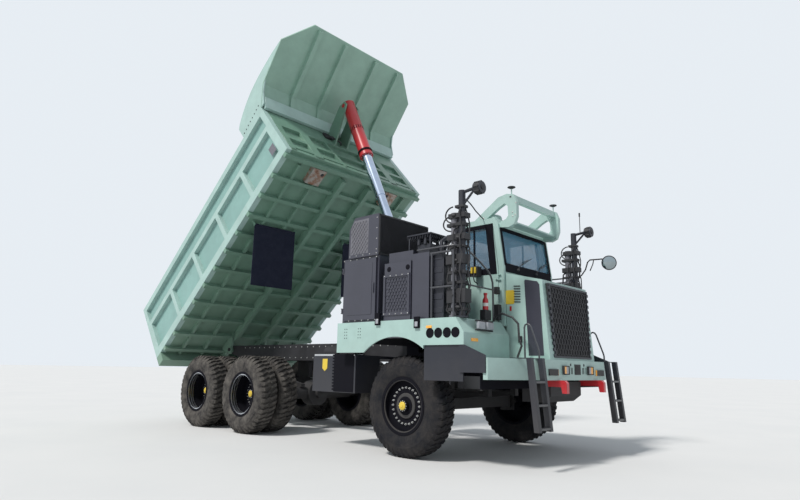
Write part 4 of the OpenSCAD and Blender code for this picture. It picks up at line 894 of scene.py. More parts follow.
class TRUCK_OT_cabinet_trim(bpy.types.Operator):
    """Panels, meshes, ribs and bolts of the cabinets, cooler and filter box, and the gear behind the mast"""
    bl_idname = "truck.cabinet_trim"
    bl_label = "Cabinet and cooler trim"

    def execute(self, context):
        x = CABINET_X
        seat = x + 0.002
        door, mesh, ribs, box, holes, bolts, gear = shapes(7)
        door.boxes((x - 0.008, seat, -1.4, -0.66, 2.67, 3.71), (x - 0.022, seat, -0.63, -0.6, 3.1, 3.3))
        door.piece("cabinet_door_panel", "black", "black_paint", 0.003, body="cabinet_door")
        # Cooler: framed side mesh of crossing bars, and an upright rib every few centimetres in front
        low_f, high_f, low_z, high_z = -1.33, -0.8, 3.93, 4.66
        mesh.slab([(low_f, low_z), (high_f, low_z), (high_f, high_z), (low_f + 0.1, high_z),
                   (low_f, high_z - 0.16)], 0, x + 0.004, x - 0.001)
        for sign, shift, proud in ((1, 0.0, 0.007), (-1, 0.35, 0.004)):
            for k in range(-6, 12):
                bar = []
                for z in steps(low_z, high_z, 21):
                    f = low_f + k * 0.085 + shift + sign * (z - low_z) * 0.8
                    top = high_z - max(0, (low_f + 0.1 - f)) * 1.6
                    if low_f + 0.01 < f < high_f - 0.01 and z < top:
                        bar.append((x - proud, f, z))
                if len(bar) > 1:
                    mesh.tube([bar[0], bar[-1]], 0.007, 6)
        mesh.piece("cooler_side_mesh", "grey", "black_paint")
        for px in steps(-2.34, -0.9, context.scene.truck_trim_sizes.fins):
            ribs.boxes((px - 0.004, px + 0.004, -0.512, -0.492, 3.9, 4.68))
        ribs.boxes(*[(-2.385, -0.855, -0.512, -0.486, z - 0.014, z + 0.014) for z in (3.885, 4.69)])
        ribs.boxes(*[(px - 0.014, px + 0.014, -0.512, -0.486, 3.88, 4.7) for px in (-2.37, -0.87)])
        ribs.piece("cooler_front_ribs", "soot", "black_paint")
        # Filter box: framed hexagon mesh and a plate with two round holes over it
        f0, f1, z0, z1 = -0.27, 0.34, 2.67, 3.36
        for ends in ((f0 - 0.05, f1 + 0.02, z0 - 0.05, z0), (f0 - 0.05, f1 + 0.02, z1, z1 + 0.05),
                     (f0 - 0.05, f0, z0, z1), (f1 - 0.02, f1 + 0.02, z0, z1)):
            box.boxes((x - 0.02, seat, *ends))
        cell = 0.075
        rise = cell * 0.866
        for row in range(int((z1 - z0) / rise)):
            for i in range(int((f1 - f0) / cell)):
                cf = f0 + 0.05 + (i + row % 2 / 2) * cell
                cz = z0 + 0.045 + row * rise
                if cf <= f1 - 0.05 and cz <= z1 - 0.03:
                    for *_, outline in cell_walls(cf, cz, cell, 0.005):
                        box.slab(outline, 0, seat, x - 0.012)
        box.piece("filter_box_mesh", "black", "black_paint")
        # Near-black discs in the plate's two round holes: painted shade
        for f in (-0.19, 0.3):
            holes.turned((x, f, 3.52), (-1, 0, 0), [(0.052, -0.02), (0.052, 0.003), (0.045, 0.004)])
        holes.piece("filter_box_holes", "well", "black_paint")
        points = [(x, f, z) for f in steps(-0.55, -1.5, 6) for z in (2.56, 3.82)]
        points += [(x - 0.02, f, z) for f in steps(-0.29, 0.33, 5) for z in (2.645, 3.385)]
        points += [(x, f, 3.9) for f in steps(-1.34, -0.56, 5)]
        points += [(x, -0.56, z) for z in steps(3.98, 4.64, 4)]
        bolts.bolts(points, (-1, 0, 0), 0.009, 0.008)
        bolts.piece("cabinet_bolts", "bolt", "bare_steel")
        # Cabinet, canister and pipes between the filter box and the mast
        gear.boxes((-2.3, -1.97, 0.83, 1.1, DECK_TOP, 3.7), (-2.25, -1.82, 0.42, 0.74, 3.765, 3.95),
                   (-2.32, -1.8, 0.2, 0.8, 4.12, 4.15))
        gear.boxes(*[(-2.308, -2.296, 0.85, 1.08, z, z + 0.1) for z in steps(2.62, 3.6, 5)])
        gear.boxes(*[(a - 0.009, a + 0.009, f - 0.009, f + 0.009, 4.06, 4.12)
                     for a in steps(-2.3, -1.82, 10) for f in steps(0.22, 0.78, 10)])
        for a, f in ((-2.28, 0.24), (-2.28, 0.76), (-1.84, 0.24), (-1.84, 0.76)):
            gear.tube([(a, f, 3.7), (a, f, 4.14)], 0.018, 8)
        for f in (0.46, 0.62):
            gear.tube([(-2.26, f, 3.94), (-2.26, f, 4.04), (-2.12, f + 0.05, 4.05), (-1.9, f, 4.04),
                       (-1.86, f, 3.9)], 0.035, 12)
        gear.tube([(-2.24, 1.0, 3.7), (-2.24, 1.0, 3.95), (-2.1, 1.02, 4.04), (-1.95, 0.9, 4.02),
                   (-1.87, 0.74, 3.8), (-1.84, 0.68, 3.4), (-1.84, 0.66, DECK_TOP)], 0.04, 12)
        gear.piece("deck_gear", "skirt", "black_paint", 0.005)
        return {"FINISHED"}


# Clamps and boxes of a mast: foot, half width, reach ahead of the post, reach behind the wide tube, height
MAST_CLAMPS = [
    (2.64, 0.08, 0.09, 0.1, 0.06), (2.78, 0.1, 0.13, 0.12, 0.25), (3.12, 0.09, 0.08, 0.11, 0.05),
    (3.3, 0.08, 0.1, 0.1, 0.06), (3.48, 0.1, 0.08, 0.14, 0.18), (3.78, 0.085, 0.09, 0.09, 0.04),
    (3.92, 0.095, 0.12, 0.12, 0.11), (4.18, 0.085, 0.09, 0.13, 0.06), (4.33, 0.095, 0.12, 0.09, 0.09),
    (4.52, 0.08, 0.08, -0.05, 0.05),
]
# Hoses of a mast: offset across and ahead of the post, radius and top
MAST_HOSES = [
    (0.1, 0.06, 0.016, 4.36), (-0.1, 0.04, 0.016, 4.55), (0.05, 0.11, 0.013, 4.6),
    (-0.05, -0.27, 0.018, 4.05), (0.09, -0.26, 0.014, 3.7), (-0.12, -0.1, 0.012, 4.2),
]
# The wide tube behind a post, and the middle of a mast's head
WIDE_F = 1.29
HEAD_F = 1.83
HEAD_Z = 4.83


class TRUCK_OT_mast_trim(bpy.types.Operator):
    """Clamps, hoses and sensor faces on the masts, and the round mirror"""
    bl_idname = "truck.mast_trim"
    bl_label = "Mast and mirror trim"

    def execute(self, context):
        grips, wide = shapes(2, both=True)
        hoses, arm, glass = shapes(3)
        ahead = (0, -1, 0)
        wide.tube([(MAST_X, WIDE_F, DECK_TOP), (MAST_X, WIDE_F, 4.44)], 0.073, 24)
        wide.turned((MAST_X, WIDE_F, 2.525), (0, 0, 1), [(0.11, 0.0), (0.11, 0.04), (0.09, 0.05)])
        for z, half, reach, behind, high in MAST_CLAMPS:
            grips.boxes((MAST_X - half, MAST_X + half, WIDE_F - behind, MAST_F + reach, z, z + high))
        for k in range(9):
            grips.turned((MAST_X + 0.1, 1.4 - 0.05 * (k % 3), 2.7 + 0.21 * k), (1, 0, 0) if k % 2 else ahead,
                         [(0.032, 0.0), (0.032, 0.035), (0.022, 0.05), (0.022, 0.075)], 12)
        head = (MAST_X, HEAD_F, HEAD_Z)
        grips.turned(head, ahead, [(0.118, -0.045), (0.118, 0.045), (0.104, 0.06)], 28)
        for t in turns(8):
            knob = (MAST_X + 0.112 * cos(t), HEAD_F, HEAD_Z + 0.112 * sin(t))
            grips.turned(knob, ahead, [(0.022, -0.05), (0.022, 0.055)], 8)
        grips.turned(head, ahead, [(0.05, 0.0), (0.05, 0.088), (0.03, 0.09)], 20)
        for x in (-MAST_X, MAST_X):
            for dx, df, r, top in MAST_HOSES:
                path = [(x + dx * 0.6, MAST_F + df * 0.7, 2.55)]
                for i in range(int((top - 2.65) / 0.11)):
                    wave = 0.022 * sin(i * 1.35 + dx * 40) + 0.01 * sin(i * 2.9 + df * 30)
                    path.append((x + dx + wave, MAST_F + df + wave * 0.6, 2.66 + i * 0.11))
                hoses.tube(path + [(x + dx * 0.3, MAST_F + df * 0.3, top)], r, 8)
        # Loops at the head of the wide tube
        hoses.both = True
        for reach, low in ((-0.22, 4.1), (-0.17, 4.26)):
            hoses.tube([(MAST_X + 0.04, WIDE_F - 0.02 + reach * sin(t), low + 0.15 * (1 - cos(t)))
                        for t in steps(0, pi, 13)], 0.014, 8)
        hoses.both = False
        hoses.tube([(MAST_X, 1.62, 4.82), (MAST_X, 1.62, 5.12), (MAST_X, 1.62, 5.26)], 0.009, 8)
        hoses.tube([(MAST_X, 1.62, 5.24), (MAST_X, 1.62, 5.33)], 0.018, 10)
        # Cable from the right mast to the cab, and the hoses at its foot
        hoses.tube([(-MAST_X, 1.42, 4.62), (-2.02, 1.4, 4.74), (-1.75, 1.32, 4.71), (-1.45, 1.22, 4.66),
                    (-1.2, 1.12, 4.66), (-0.9, 1.02, 4.64)], 0.012, 8)
        hoses.tube([(-1.25, f, z) for f, z in (
            (1.46, DECK_TOP), (1.52, 2.62), (1.66, 2.66), (1.87, 2.58), (1.99, 2.46), (2.0, 2.23),
            (2.05, 2.06), (1.96, 1.86))], 0.02, 10)
        grips.piece("mast_clamps", "soot", "black_paint", 0.004)
        hoses.piece("mast_hoses", "soot", "grey_plastic")
        wide.piece("mast_wide_tubes", "grey", "black_paint")
        # Round mirror on a bent arm, facing ahead and outwards
        facing = (-0.85, -0.5, -0.15)
        centre = (2.28, 2.25, 4.07)
        arm.tube([(2.25, 1.47, 3.78), (2.27, 1.58, 3.84), (2.3, 1.67, 3.97), (2.3, 1.73, 4.14),
                  (2.3, 1.79, 4.19), (2.3, 2.08, 4.18), (2.3, 2.22, 4.12)], 0.016, 12)
        arm.tube([(2.3, 1.88, 4.18), (2.29, 1.86, 4.08), (2.28, 1.79, 3.93)], 0.012, 10)
        arm.turned(centre, facing, [(0.06, -0.055), (0.13, -0.045), (0.163, -0.015), (0.167, 0.0),
                                    (0.163, 0.016), (0.152, 0.014)], 40)
        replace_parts(arm.piece("round_mirror", "soot", "black_paint"), "mirror")
        glass.turned(centre, facing, [(0.155, 0.008), (0.13, 0.022), (0.09, 0.034), (0.05, 0.04),
                                      (0.01, 0.042)], 40)
        glass.piece("mirror_glass", "mirror", "bare_steel")
        return {"FINISHED"}


class TRUCK_OT_ladders(bpy.types.Operator):
    """Ladders of leaning planks and three rungs, in place of the upright ones, with hand loops, and rails"""
    bl_idname = "truck.ladders"
    bl_label = "Ladders and front rails"

    def execute(self, context):
        planks, treads, loops, rails = shapes(4, both=True)
        low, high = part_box("ladders")
        front = AXLE_Y - low.y
        lean = 0.115
        head = high.z - 0.014
        outline = [(front + lean, low.z), (front + lean - 0.105, low.z), (front - 0.105, head),
                   (front - 0.42, head), (front - 0.42, high.z), (front - 0.01, high.z)]
        for x in (1.3, 1.675):
            planks.slab(outline, 0, x, x + 0.085)
        for z in steps(low.z + 0.03, high.z - 0.42, 3):
            f = front + lean * (high.z - z) / (high.z - low.z)
            treads.boxes((1.38, 1.68, f - 0.1, f - 0.005, z, z + 0.035))
            treads.boxes(*[(x, x + 0.012, f - 0.095, f - 0.01, z + 0.034, z + 0.04)
                           for x in steps(1.4, 1.648, 9)])
        loops.tube([(1.325, f, z) for f, z in (
            (2.16, high.z), (2.16, 2.38), (2.175, 2.425), (2.215, 2.445), (2.26, 2.43), (2.29, 2.39),
            (2.425, 2.01), (2.44, 1.95), (2.44, high.z))], 0.016, 12)
        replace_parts(planks.piece("leaning_ladders", "skirt", "black_paint", 0.004), "ladders")
        treads.piece("ladder_treads", "tube", "black_paint", 0.003)
        loops.piece("ladder_hand_loops", "tube", "silver_rail")
        rails.tube([(x, MAST_F, z) for x, z in (
            (2.2, 3.82), (1.98, 3.74), (1.66, 3.6), (1.4, 3.46), (1.3, 3.37), (1.25, 3.26), (1.24, 3.12),
            (1.24, 2.52))], 0.018, 12)
        rails.tube([(2.2, MAST_F, 3.13), (1.7, MAST_F, 3.125), (1.24, MAST_F, 3.12)], 0.016, 12)
        rails.tube([(2.35, 0.5, 3.82), (2.35, 1.0, 3.82), (2.34, 1.36, 3.82), (2.24, 1.43, 3.82)], 0.018, 12)
        rails.piece("front_rails", "tube", "silver_rail")
        return {"FINISHED"}


# Outer face of the hood's side strips, the bottle's place on the deck and the roof frame's foot
STRIP_X = -0.899
BOTTLE_X = -1.45
BOTTLE_F = 1.42
ROOF_F = 1.62


class TRUCK_OT_cab_side(bpy.types.Operator):
    """Boxes, bottle, blank plates, roof discs and dome around the cab"""
    bl_idname = "truck.cab_side"
    bl_label = "Cab side gear"

    def execute(self, context):
        dark, bottle, band, plates, mark, roof, nuts = shapes(7)
        up = (0, 0, 1)
        dark.boxes((-1.09, -1.0, 1.37, 1.45, 3.06, 3.2), (-1.1, -0.985, 1.35, 1.47, 2.56, 2.86),
                   (-1.14, -0.985, 0.86, 1.02, 3.44, 3.64), (-1.55, -1.35, 1.36, 1.48, DECK_TOP, 2.72))
        dark.tube([(-1.0, 0.94, 3.3), (-1.12, 0.94, 3.34), (-1.16, 0.94, 3.42), (-1.13, 0.94, 3.5)], 0.012, 8)
        dark.piece("cab_side_boxes", "soot", "black_paint", 0.008)
        flask = [(0.055, 0.0), (0.055, 0.17), (0.05, 0.2), (0.028, 0.235), (0.028, 0.28), (0.036, 0.29),
                 (0.036, 0.32)]
        bottle.turned((BOTTLE_X, BOTTLE_F, 2.72), up, flask)
        bottle.piece("deck_bottle", "red", "red_paint")
        band.turned((BOTTLE_X, BOTTLE_F, 2.79), up, [(0.0565, 0.0), (0.0565, 0.06)])
        band.piece("deck_bottle_band", "white", "grey_plastic")
        plates.slab([(1.53, 2.87), (1.69, 2.87), (1.71, 2.9), (1.71, 3.12), (1.69, 3.14), (1.53, 3.14),
                     (1.51, 3.12), (1.51, 2.9)], 0, STRIP_X - 0.006, STRIP_X)
        plates.boxes(*[(-1.17, -1.145, f, f + 0.04, 3.5, 3.62) for f in (0.88, 0.96)])
        plates.slab([(-2.14, 1.6), (-2.14, 1.8), (-2.3, 1.8), (-2.3, 1.6), (-2.22, 1.54)], 0,
                    -2.206, -2.1995)
        plates.piece("blank_plates", "yellow", "amber_lens", 0.002)
        mark.boxes((STRIP_X - 0.005, STRIP_X, 1.6, 1.64, 2.74, 2.83))
        mark.piece("hood_red_mark", "red", "red_paint")
        discs = Shape(both=True)
        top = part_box("roof_frame")[1].z
        discs.turned((0.85, 1.66, top - 0.028), up, [(0.03, -0.012), (0.079, 0.012), (0.081, 0.02),
                                                     (0.074, 0.0278)], 28)
        discs.turned((0.85, 1.66, 4.985), up, [(0.05, 0.0), (0.05, 0.03), (0.035, 0.04)], 20)
        discs.piece("roof_disc_caps", "soot", "grey_plastic")
        roof.turned((-0.72, 1.18, 4.62), up, [(0.14, 0.0), (0.14, 0.05), (0.12, 0.09), (0.07, 0.115),
                                              (0.01, 0.12)], 32)
        roof.tube([(-0.85, ROOF_F, 4.93), (-0.7, 1.6, 4.98)], 0.02, 8)
        for x in (-0.62, 0.62):
            roof.tube([(x, ROOF_F, 4.96), (x * 1.33, ROOF_F, 4.8)], 0.022, 10)
        roof.piece("roof_dome", "mint", "mint_paint")
        nuts.bolts([(-0.897, f, z) for f, z in (
            (1.7, 4.6), (1.76, 4.62), (1.7, 4.68), (1.78, 4.86), (0.95, 4.66), (1.02, 4.66), (0.95, 4.72))],
            (-1, 0, 0), 0.011, 0.008)
        nuts.piece("roof_frame_bolts", "bolt", "bare_steel")
        return {"FINISHED"}


# Top and bottom line of the canopy's flank plate: u and v of the bed
FLANK_TOP = [
    (5.9, 2.69), (6.0, 2.79), (6.13, 2.86), (6.36, 2.97), (6.6, 3.06), (6.86, 3.13), (7.12, 3.17),
    (7.38, 3.19), (7.64, 3.195),
]
FLANK_FOOT = [
    (7.05, 2.285), (7.22, 2.59), (7.43, 2.78), (7.67, 2.92), (8.07, 2.99), (8.55, 3.08), (8.5, 3.13),
    (8.13, 3.18), (7.64, 3.195),
]


class TRUCK_OT_bed_trim(bpy.types.Operator):
    """Stringers, stiffeners, flank plates, pocket sheets of painted shade, strips and reflectors of the bed
    """
    bl_idname = "truck.bed_trim"
    bl_label = "Bed trim"

    def execute(self, context):
        strings, wall, flanks, rivets, pockets, pads, edge, marks = shapes(8, bed, both=True)
        band, plate, fittings = shapes(3, bed)
        strings.boxes(*[(x - 0.04, x + 0.04, -0.55, 6.6, 0.245, 0.345) for x in (1.25, 1.95)])
        strings.piece("floor_stringers", "mint_deep", "mint_deep", 0.004)
        deep, face = 6.815, 6.906
        for foot, head, half in ((1.4, 1.4, 0.145), (0.46, 0.66, 0.05), (2.24, 2.24, 0.09)):
            wall.slab([(foot - half, 0.36), (foot + half, 0.36), (head + half, 1.6), (head - half, 1.6)],
                      1, deep, face)
        wall.both = False
        wall.boxes((-2.34, 2.34, deep, face, 1.58, 2.19), (-2.34, 2.34, deep, face, 0.345, 0.47))
        wall.piece("front_wall_stiffeners", "mint_deep", "mint_deep", 0.006)
        # The plate in quarters along its length, because its outline isn't convex
        inner, outer = 2.456, 2.493
        for quarter in zip(FLANK_TOP, FLANK_TOP[1:], FLANK_FOOT[1:], FLANK_FOOT):
            flanks.slab(quarter, 0, inner, outer)
        flanks.slab([(5.9, 2.285), FLANK_TOP[0], FLANK_FOOT[0]], 0, inner, outer)
        flanks.piece("canopy_flanks", "mint", "mint_paint")
        points = [(outer, u, 2.36 + 0.012 * k) for k, u in enumerate(steps(6.0, 6.85, 8))]
        rivets.bolts(points, (1, 0, 0), 0.016, 0.0065)
        rivets.piece("canopy_flank_rivets", "soot", "grey_plastic")
        # Thin darker sheets at the back of the side's pockets: painted shade in the recesses
        step = (BED_FRONT + BED_REAR - 0.35) / 5
        sheet = (POCKET_X, POCKET_X + 0.004)
        pockets.boxes((*sheet, 0.19 - BED_REAR, BED_FRONT - 0.19, 1.64, 2.1))
        for k in range(5):
            head = BED_FRONT - 0.25 - k * step
            pockets.boxes((*sheet, head - step + 0.16, head - 0.01, 0.58, 1.47))
        pockets.piece("bed_pocket_shade_sheets", "shade", "mint_paint")
        band.slab([(6.91, 2.2), (7.0, 2.17), (7.16, 2.46), (7.07, 2.5)], 0, -2.44, 2.44)
        band.piece("canopy_foot_band", "mint", "mint_paint", 0.006)
        plate.boxes((-2.4999, -2.497, 6.4, 6.62, 0.7, 0.98))
        plate.piece("bed_blank_plate", "grey", "grey_plastic")
        # A dark disc on each pad stands for its hole: painted shade
        pads.turned((1.22, 6.56, 0.2005), bed(0, 0, -1) - bed(0, 0, 0), [(0.05, -0.01), (0.05, 0.0),
                                                                         (0.046, 0.002)], 20)
        pads.piece("pad_holes", "soot", "bare_steel")
        for x, v in ((-0.42, 1.98), (-0.34, 2.05), (-0.28, 1.9)):
            fittings.tube([(x + 0.03 * i, 6.92 + 0.1 * sin(t), v - 0.12 * sin(t) - 0.015 * i)
                           for i, t in enumerate(steps(0, pi, 11))], 0.022, 10)
        fittings.boxes((-0.5, -0.26, 6.9, 6.96, 1.86, 2.1))
        fittings.piece("hoist_head_hoses", "soot", "grey_plastic", 0.004)
        edge.boxes((BED_HALF - 0.16, BED_HALF, -0.8, 6.86, 2.272, 2.279))
        edge.piece("bed_top_strips", "black", "black_paint")
        marks.boxes(*[(BED_HALF - 0.002, BED_HALF - 0.0002, u, u + 0.18, 0.39, 0.46) for u in (0.25, 1.75)])
        marks.piece("bed_reflectors", "yellow", "amber_lens")
        return {"FINISHED"}


class TRUCK_OT_hoist_trim(bpy.types.Operator):
    """Bands, collar, bolts and pipe of the hoist's barrel"""
    bl_idname = "truck.hoist_trim"
    bl_label = "Hoist trim"

    def execute(self, context):
        bands, screws, joint = shapes(3, hoist)
        for d, r in ((0.85, 0.186), (1.8, 0.19), (-0.12, 0.184)):
            ring = [(0.17, -0.04), (r, -0.034), (r, 0.034), (0.17, 0.04)]
            bands.turned((0, 0, d), HOIST_LINE, ring, 40, True)
        bands.piece("hoist_bands", "red", "red_paint")
        for t in turns(10):
            screws.turned((0.15 * cos(t), 0.15 * sin(t), 1.836), HOIST_LINE,
                          [(0.011, 0.0), (0.011, 0.012)], 6)
        screws.piece("hoist_gland_screws", "bolt", "bare_steel")
        for t in turns(18):
            joint.turned((0.176 * cos(t), 0.176 * sin(t), 0.88), HOIST_LINE,
                         [(0.016, -0.085), (0.016, 0.015)], 6)
        collar = [(0.17, -0.03), (0.202, -0.025), (0.202, 0.025), (0.17, 0.03)]
        joint.turned((0, 0, 1.68), HOIST_LINE, collar, 40, True)
        joint.tube([(0.19, 0.06, 0.95), (0.2, 0.06, 1.3), (0.2, 0.05, 1.66)], 0.018, 10)
        joint.piece("hoist_joint_bolts", "well", "black_paint")
        return {"FINISHED"}


class TRUCK_OT_chassis_trim(bpy.types.Operator):
    """Air tanks, drive shafts, leaves and bolts of the chassis, edges and covers of the side boxes"""
    bl_idname = "truck.chassis_trim"
    bl_label = "Chassis trim"

    def execute(self, context):
        under, bolts, edges, covers = shapes(4, both=True)
        tank = [(0.1, -0.26), (0.15, -0.24), (0.15, 0.24), (0.1, 0.26)]
        for f in (-2.95, -3.55):
            under.turned((0.78, f, 1.99), (0, 1, 0), tank, 28)
            for strap in (f - 0.15, f + 0.15):
                under.boxes((0.555, 0.66, strap - 0.02, strap + 0.02, 1.9, 2.08))
        for k in range(5):
            z, reach = 1.1025 + k * 0.022, 0.32 + k * 0.12
            under.boxes((0.432, 0.558, -reach, reach, z, z + 0.016))
        under.both = False
        under.tube([(0, 0.55, 1.75), (0, -1.9, 1.45), (0, -4.9, 1.0)], 0.06, 16)
        under.tube([(0, -5.55, 1.0), (0, -7.08, 1.0)], 0.06, 16)
        under.piece("chassis_tanks_and_shafts", "iron", "chassis_black")
        points = [(0.56, f, z) for f in steps(1.8, -7.9, 40) for z in (1.86, 2.15)]
        bolts.bolts(points, (1, 0, 0), 0.012, 0.01)
        bolts.piece("rail_bolts", "bolt", "bare_steel")
        edges.boxes((BOX_X - 0.25, BOX_X + 0.004, -2.58, -1.3, 1.86, 1.9))
        edges.piece("side_box_edges", "silver", "silver_rail", 0.003)
        covers.boxes((BOX_X, BOX_X + 0.008, -1.92, -1.31, 1.13, 1.9))
        covers.boxes(*[(BOX_X, BOX_X + 0.01, -1.97, -1.92, z, z + 0.03) for z in steps(1.16, 1.86, 12)])
        covers.piece("side_box_covers", "well", "black_paint", 0.003)
        return {"FINISHED"}


def crowned(half, low, high, share):
    """Six points across a cushion: foot, shoulder and crown on each side."""
    right = [(half, low), (half, high - 0.02), (half * share, high)]
    return [(-x, d) for x, d in right] + right[::-1]


def cushion(name, rings):
    """A closed padded form through rings of points, rounded by subdivision."""
    shape = Shape()
    shape.loft([[truck(*p) for p in ring] for ring in rings])
    made = shape.piece(name, "seat", "seat_fabric")
    made.data.shade_smooth()
    filled(made.modifiers.new("rounded", "SUBSURF"), levels=2, render_levels=2)


class TRUCK_OT_seat(bpy.types.Operator):
    """Driver's seat, dashboard and steering wheel, in place of the plain solids"""
    bl_idname = "truck.seat"
    bl_label = "Seat and dashboard"

    def execute(self, context):
        floor = CAB_FLOOR
        # Rings of the cushion by place forward, and of the back by height: half width, low and high side
        seat_rings = ((0.37, 0.2, 0.43, 0.5), (0.4, 0.25, 0.42, 0.545), (0.62, 0.26, 0.42, 0.555),
                      (0.84, 0.25, 0.42, 0.55), (0.87, 0.2, 0.44, 0.5))
        back_rings = ((0.58, 0.2, 0.4, 0.48), (0.62, 0.25, 0.385, 0.5), (0.85, 0.26, 0.365, 0.48),
                      (1.18, 0.23, 0.345, 0.44), (1.28, 0.17, 0.345, 0.42))
        cushion("seat_cushion", [[(x, f, floor + z) for x, z in crowned(half, low, high, 0.45)]
                                 for f, half, low, high in seat_rings])
        cushion("seat_back", [[(x, f, floor + z) for x, f in crowned(half, low, high, 0.4)]
                              for z, half, low, high in back_rings])
        base, dash = shapes(2)
        base.slab([(0.44, floor), (0.8, floor), (0.74, floor + 0.43), (0.5, floor + 0.43)], 0, -0.19, 0.19)
        base.piece("seat_base", "plastic", "seat_fabric", 0.01, 2)
        dash.slab([(1.458, floor + 0.002), (1.458, 3.575), (1.4, 3.575), (1.3, 3.545), (1.285, 3.5),
                   (1.32, 3.42), (1.33, floor + 0.002)], 0, -0.885, 0.885)
        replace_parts(dash.piece("dashboard", "plastic", "seat_fabric", 0.012, 2), "cab_interior")
        steering = Shape(lambda *point: Vector(point))
        centre = truck(0, 1.04, 3.56)
        axis = Vector((0, sin(radians(55)), cos(radians(55))))
        one = Vector((1, 0, 0))
        two = axis.cross(one)
        rings = []
        for t in turns(40):
            out = one * cos(t) + two * sin(t)
            rings.append([centre + out * (0.22 + 0.017 * cos(s)) + axis * 0.017 * sin(s)
                          for s in turns(10)])
        steering.loft(rings, caps=False, closed=True)
        for t in map(radians, (90, 210, 330)):
            end = centre + (one * cos(t) + two * sin(t)) * 0.215
            steering.tube([centre, (centre + end) / 2 - axis * 0.01, end], 0.012, 8)
        steering.turned(centre, axis, [(0.05, -0.03), (0.055, 0.0), (0.04, 0.018), (0.01, 0.02)], 20)
        steering.tube([centre - axis * 0.01, truck(0, 1.33, 3.42)], 0.03, 12)
        steering.piece("steering_wheel", "plastic", "seat_fabric")
        return {"FINISHED"}


# The camera, fitted to the wheels in the photo: place, heading, lens, pitch and roll
EYE = (-10.484, -11.654, 1.623)
HEADING = (0.733, 0.68, 0)
FOCAL = 26.16
PITCH = radians(11.53)
ROLL = radians(1.1)
# Half width of the studio floor, and the way the key lamp shines
FLOOR_HALF = 300
SUN_LINE = (0.72, -0.1, -0.92)


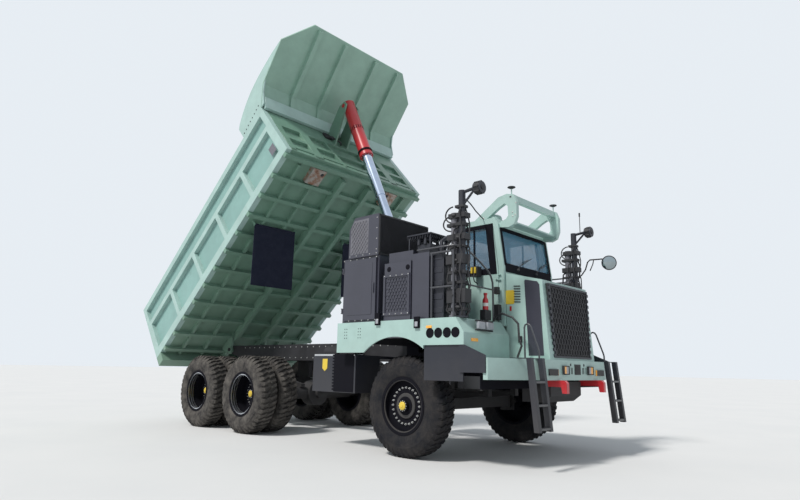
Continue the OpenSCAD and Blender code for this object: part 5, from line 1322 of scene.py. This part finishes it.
class TRUCK_OT_stage(bpy.types.Operator):
    """Pale floor, soft lamps and the camera at the photo's angle"""
    bl_idname = "truck.stage"
    bl_label = "Stage"

    def execute(self, context):
        scene = context.scene
        floor = Finish("studio floor")
        pale = floor.mix(floor.noise(0.35, 5.0, 0.55), (0.62, 0.63, 0.64), (0.7, 0.7, 0.7))
        floor.surface(Base_Color=pale, Roughness=0.85)
        data = bpy.data.meshes.new("studio_floor")
        shape = bmesh.new()
        shape.faces.new([shape.verts.new((x * FLOOR_HALF, y * FLOOR_HALF, -0.001))
                         for x, y in ((-1, -1), (1, -1), (1, 1), (-1, 1))])
        shape.to_mesh(data)
        shape.free()
        data.materials.append(floor.material)
        ground = bpy.data.objects.new("studio_floor", data)
        scene.collection.objects.link(ground)

        sky = Finish("studio", bpy.data.worlds.new("studio"))
        scene.world = sky.material
        seen = 0.0
        for ray in ("Is Camera Ray", "Is Glossy Ray", "Is Transmission Ray"):
            seen = sky.node("ShaderNodeLightPath", {}, {}, ray) + seen
        light = sky.node("ShaderNodeBackground", {}, {"Color": (0.86, 0.93, 1.0), "Strength": 0.5})
        pale_sky = sky.node("ShaderNodeBackground", {}, {"Color": (0.8, 0.85, 0.9), "Strength": 1.0})
        whole = sky.node("ShaderNodeMixShader", {}, {0: seen.over(0.0, 1.0), 1: light, 2: pale_sky})
        sky.node("ShaderNodeOutputWorld", {}, {"Surface": whole})

        lamp = filled(bpy.data.lights.new("key lamp", "SUN"), energy=3.1, angle=radians(9),
                      color=(1.0, 0.97, 0.92))
        sun = filled(bpy.data.objects.new("key lamp", lamp), rotation_mode="QUATERNION",
                     rotation_quaternion=Vector(SUN_LINE).to_track_quat("-Z", "Y"))
        scene.collection.objects.link(sun)

        view = filled(bpy.data.cameras.new("photo view"), sensor_width=36, lens=FOCAL, clip_start=0.1,
                      clip_end=900)
        camera = bpy.data.objects.new("photo view", view)
        heading = Vector(HEADING).normalized()
        ahead = heading * cos(PITCH) + Vector((0, 0, sin(PITCH)))
        level = Vector((heading.y, -heading.x, 0))
        upright = level.cross(ahead)
        right = level * cos(ROLL) + upright * sin(ROLL)
        up = upright * cos(ROLL) - level * sin(ROLL)
        turn = Matrix((right, up, -ahead)).transposed().to_4x4()
        camera.matrix_world = Matrix.Translation(EYE) @ turn
        scene.collection.objects.link(camera)
        scene.camera = camera
        scene.view_settings.view_transform = "Standard"
        return {"FINISHED"}


OPERATORS = (
    TRUCK_OT_stage, TRUCK_OT_finishes, TRUCK_OT_tyres, TRUCK_OT_wheel_trim, TRUCK_OT_grille,
    TRUCK_OT_hood_trim, TRUCK_OT_bumper_trim, TRUCK_OT_cab_trim, TRUCK_OT_deck_trim, TRUCK_OT_cabinet_trim,
    TRUCK_OT_mast_trim, TRUCK_OT_ladders, TRUCK_OT_cab_side, TRUCK_OT_bed_trim, TRUCK_OT_hoist_trim,
    TRUCK_OT_chassis_trim, TRUCK_OT_seat,
)


class TRUCK_PT_dressing(bpy.types.Panel):
    """Lists the sizes, colours and steps of the dressing"""
    bl_idname = "TRUCK_PT_dressing"
    bl_label = "Truck dressing"
    bl_space_type = "VIEW_3D"
    bl_region_type = "UI"
    bl_category = "Truck"

    def draw(self, context):
        scene = context.scene
        for group in (scene.truck_colours, scene.truck_tyre_sizes, scene.truck_trim_sizes):
            for name in group.bl_rna.properties.keys():
                if name not in ("rna_type", "name"):
                    self.layout.prop(group, name)
        for operator in OPERATORS:
            self.layout.operator(operator.bl_idname)


CLASSES = (TruckColours, TruckTyreSizes, TruckTrimSizes, *OPERATORS, TRUCK_PT_dressing)


def register():
    for kind in CLASSES:
        bpy.utils.register_class(kind)
    bpy.types.Scene.truck_colours = PointerProperty(type=TruckColours)
    bpy.types.Scene.truck_tyre_sizes = PointerProperty(type=TruckTyreSizes)
    bpy.types.Scene.truck_trim_sizes = PointerProperty(type=TruckTrimSizes)


def unregister():
    del bpy.types.Scene.truck_trim_sizes
    del bpy.types.Scene.truck_tyre_sizes
    del bpy.types.Scene.truck_colours
    for kind in reversed(CLASSES):
        bpy.utils.unregister_class(kind)


def main():
    register()
    for operator in OPERATORS:
        family, step = operator.bl_idname.split(".")
        getattr(getattr(bpy.ops, family), step)()


if __name__ == "__main__":
    main()
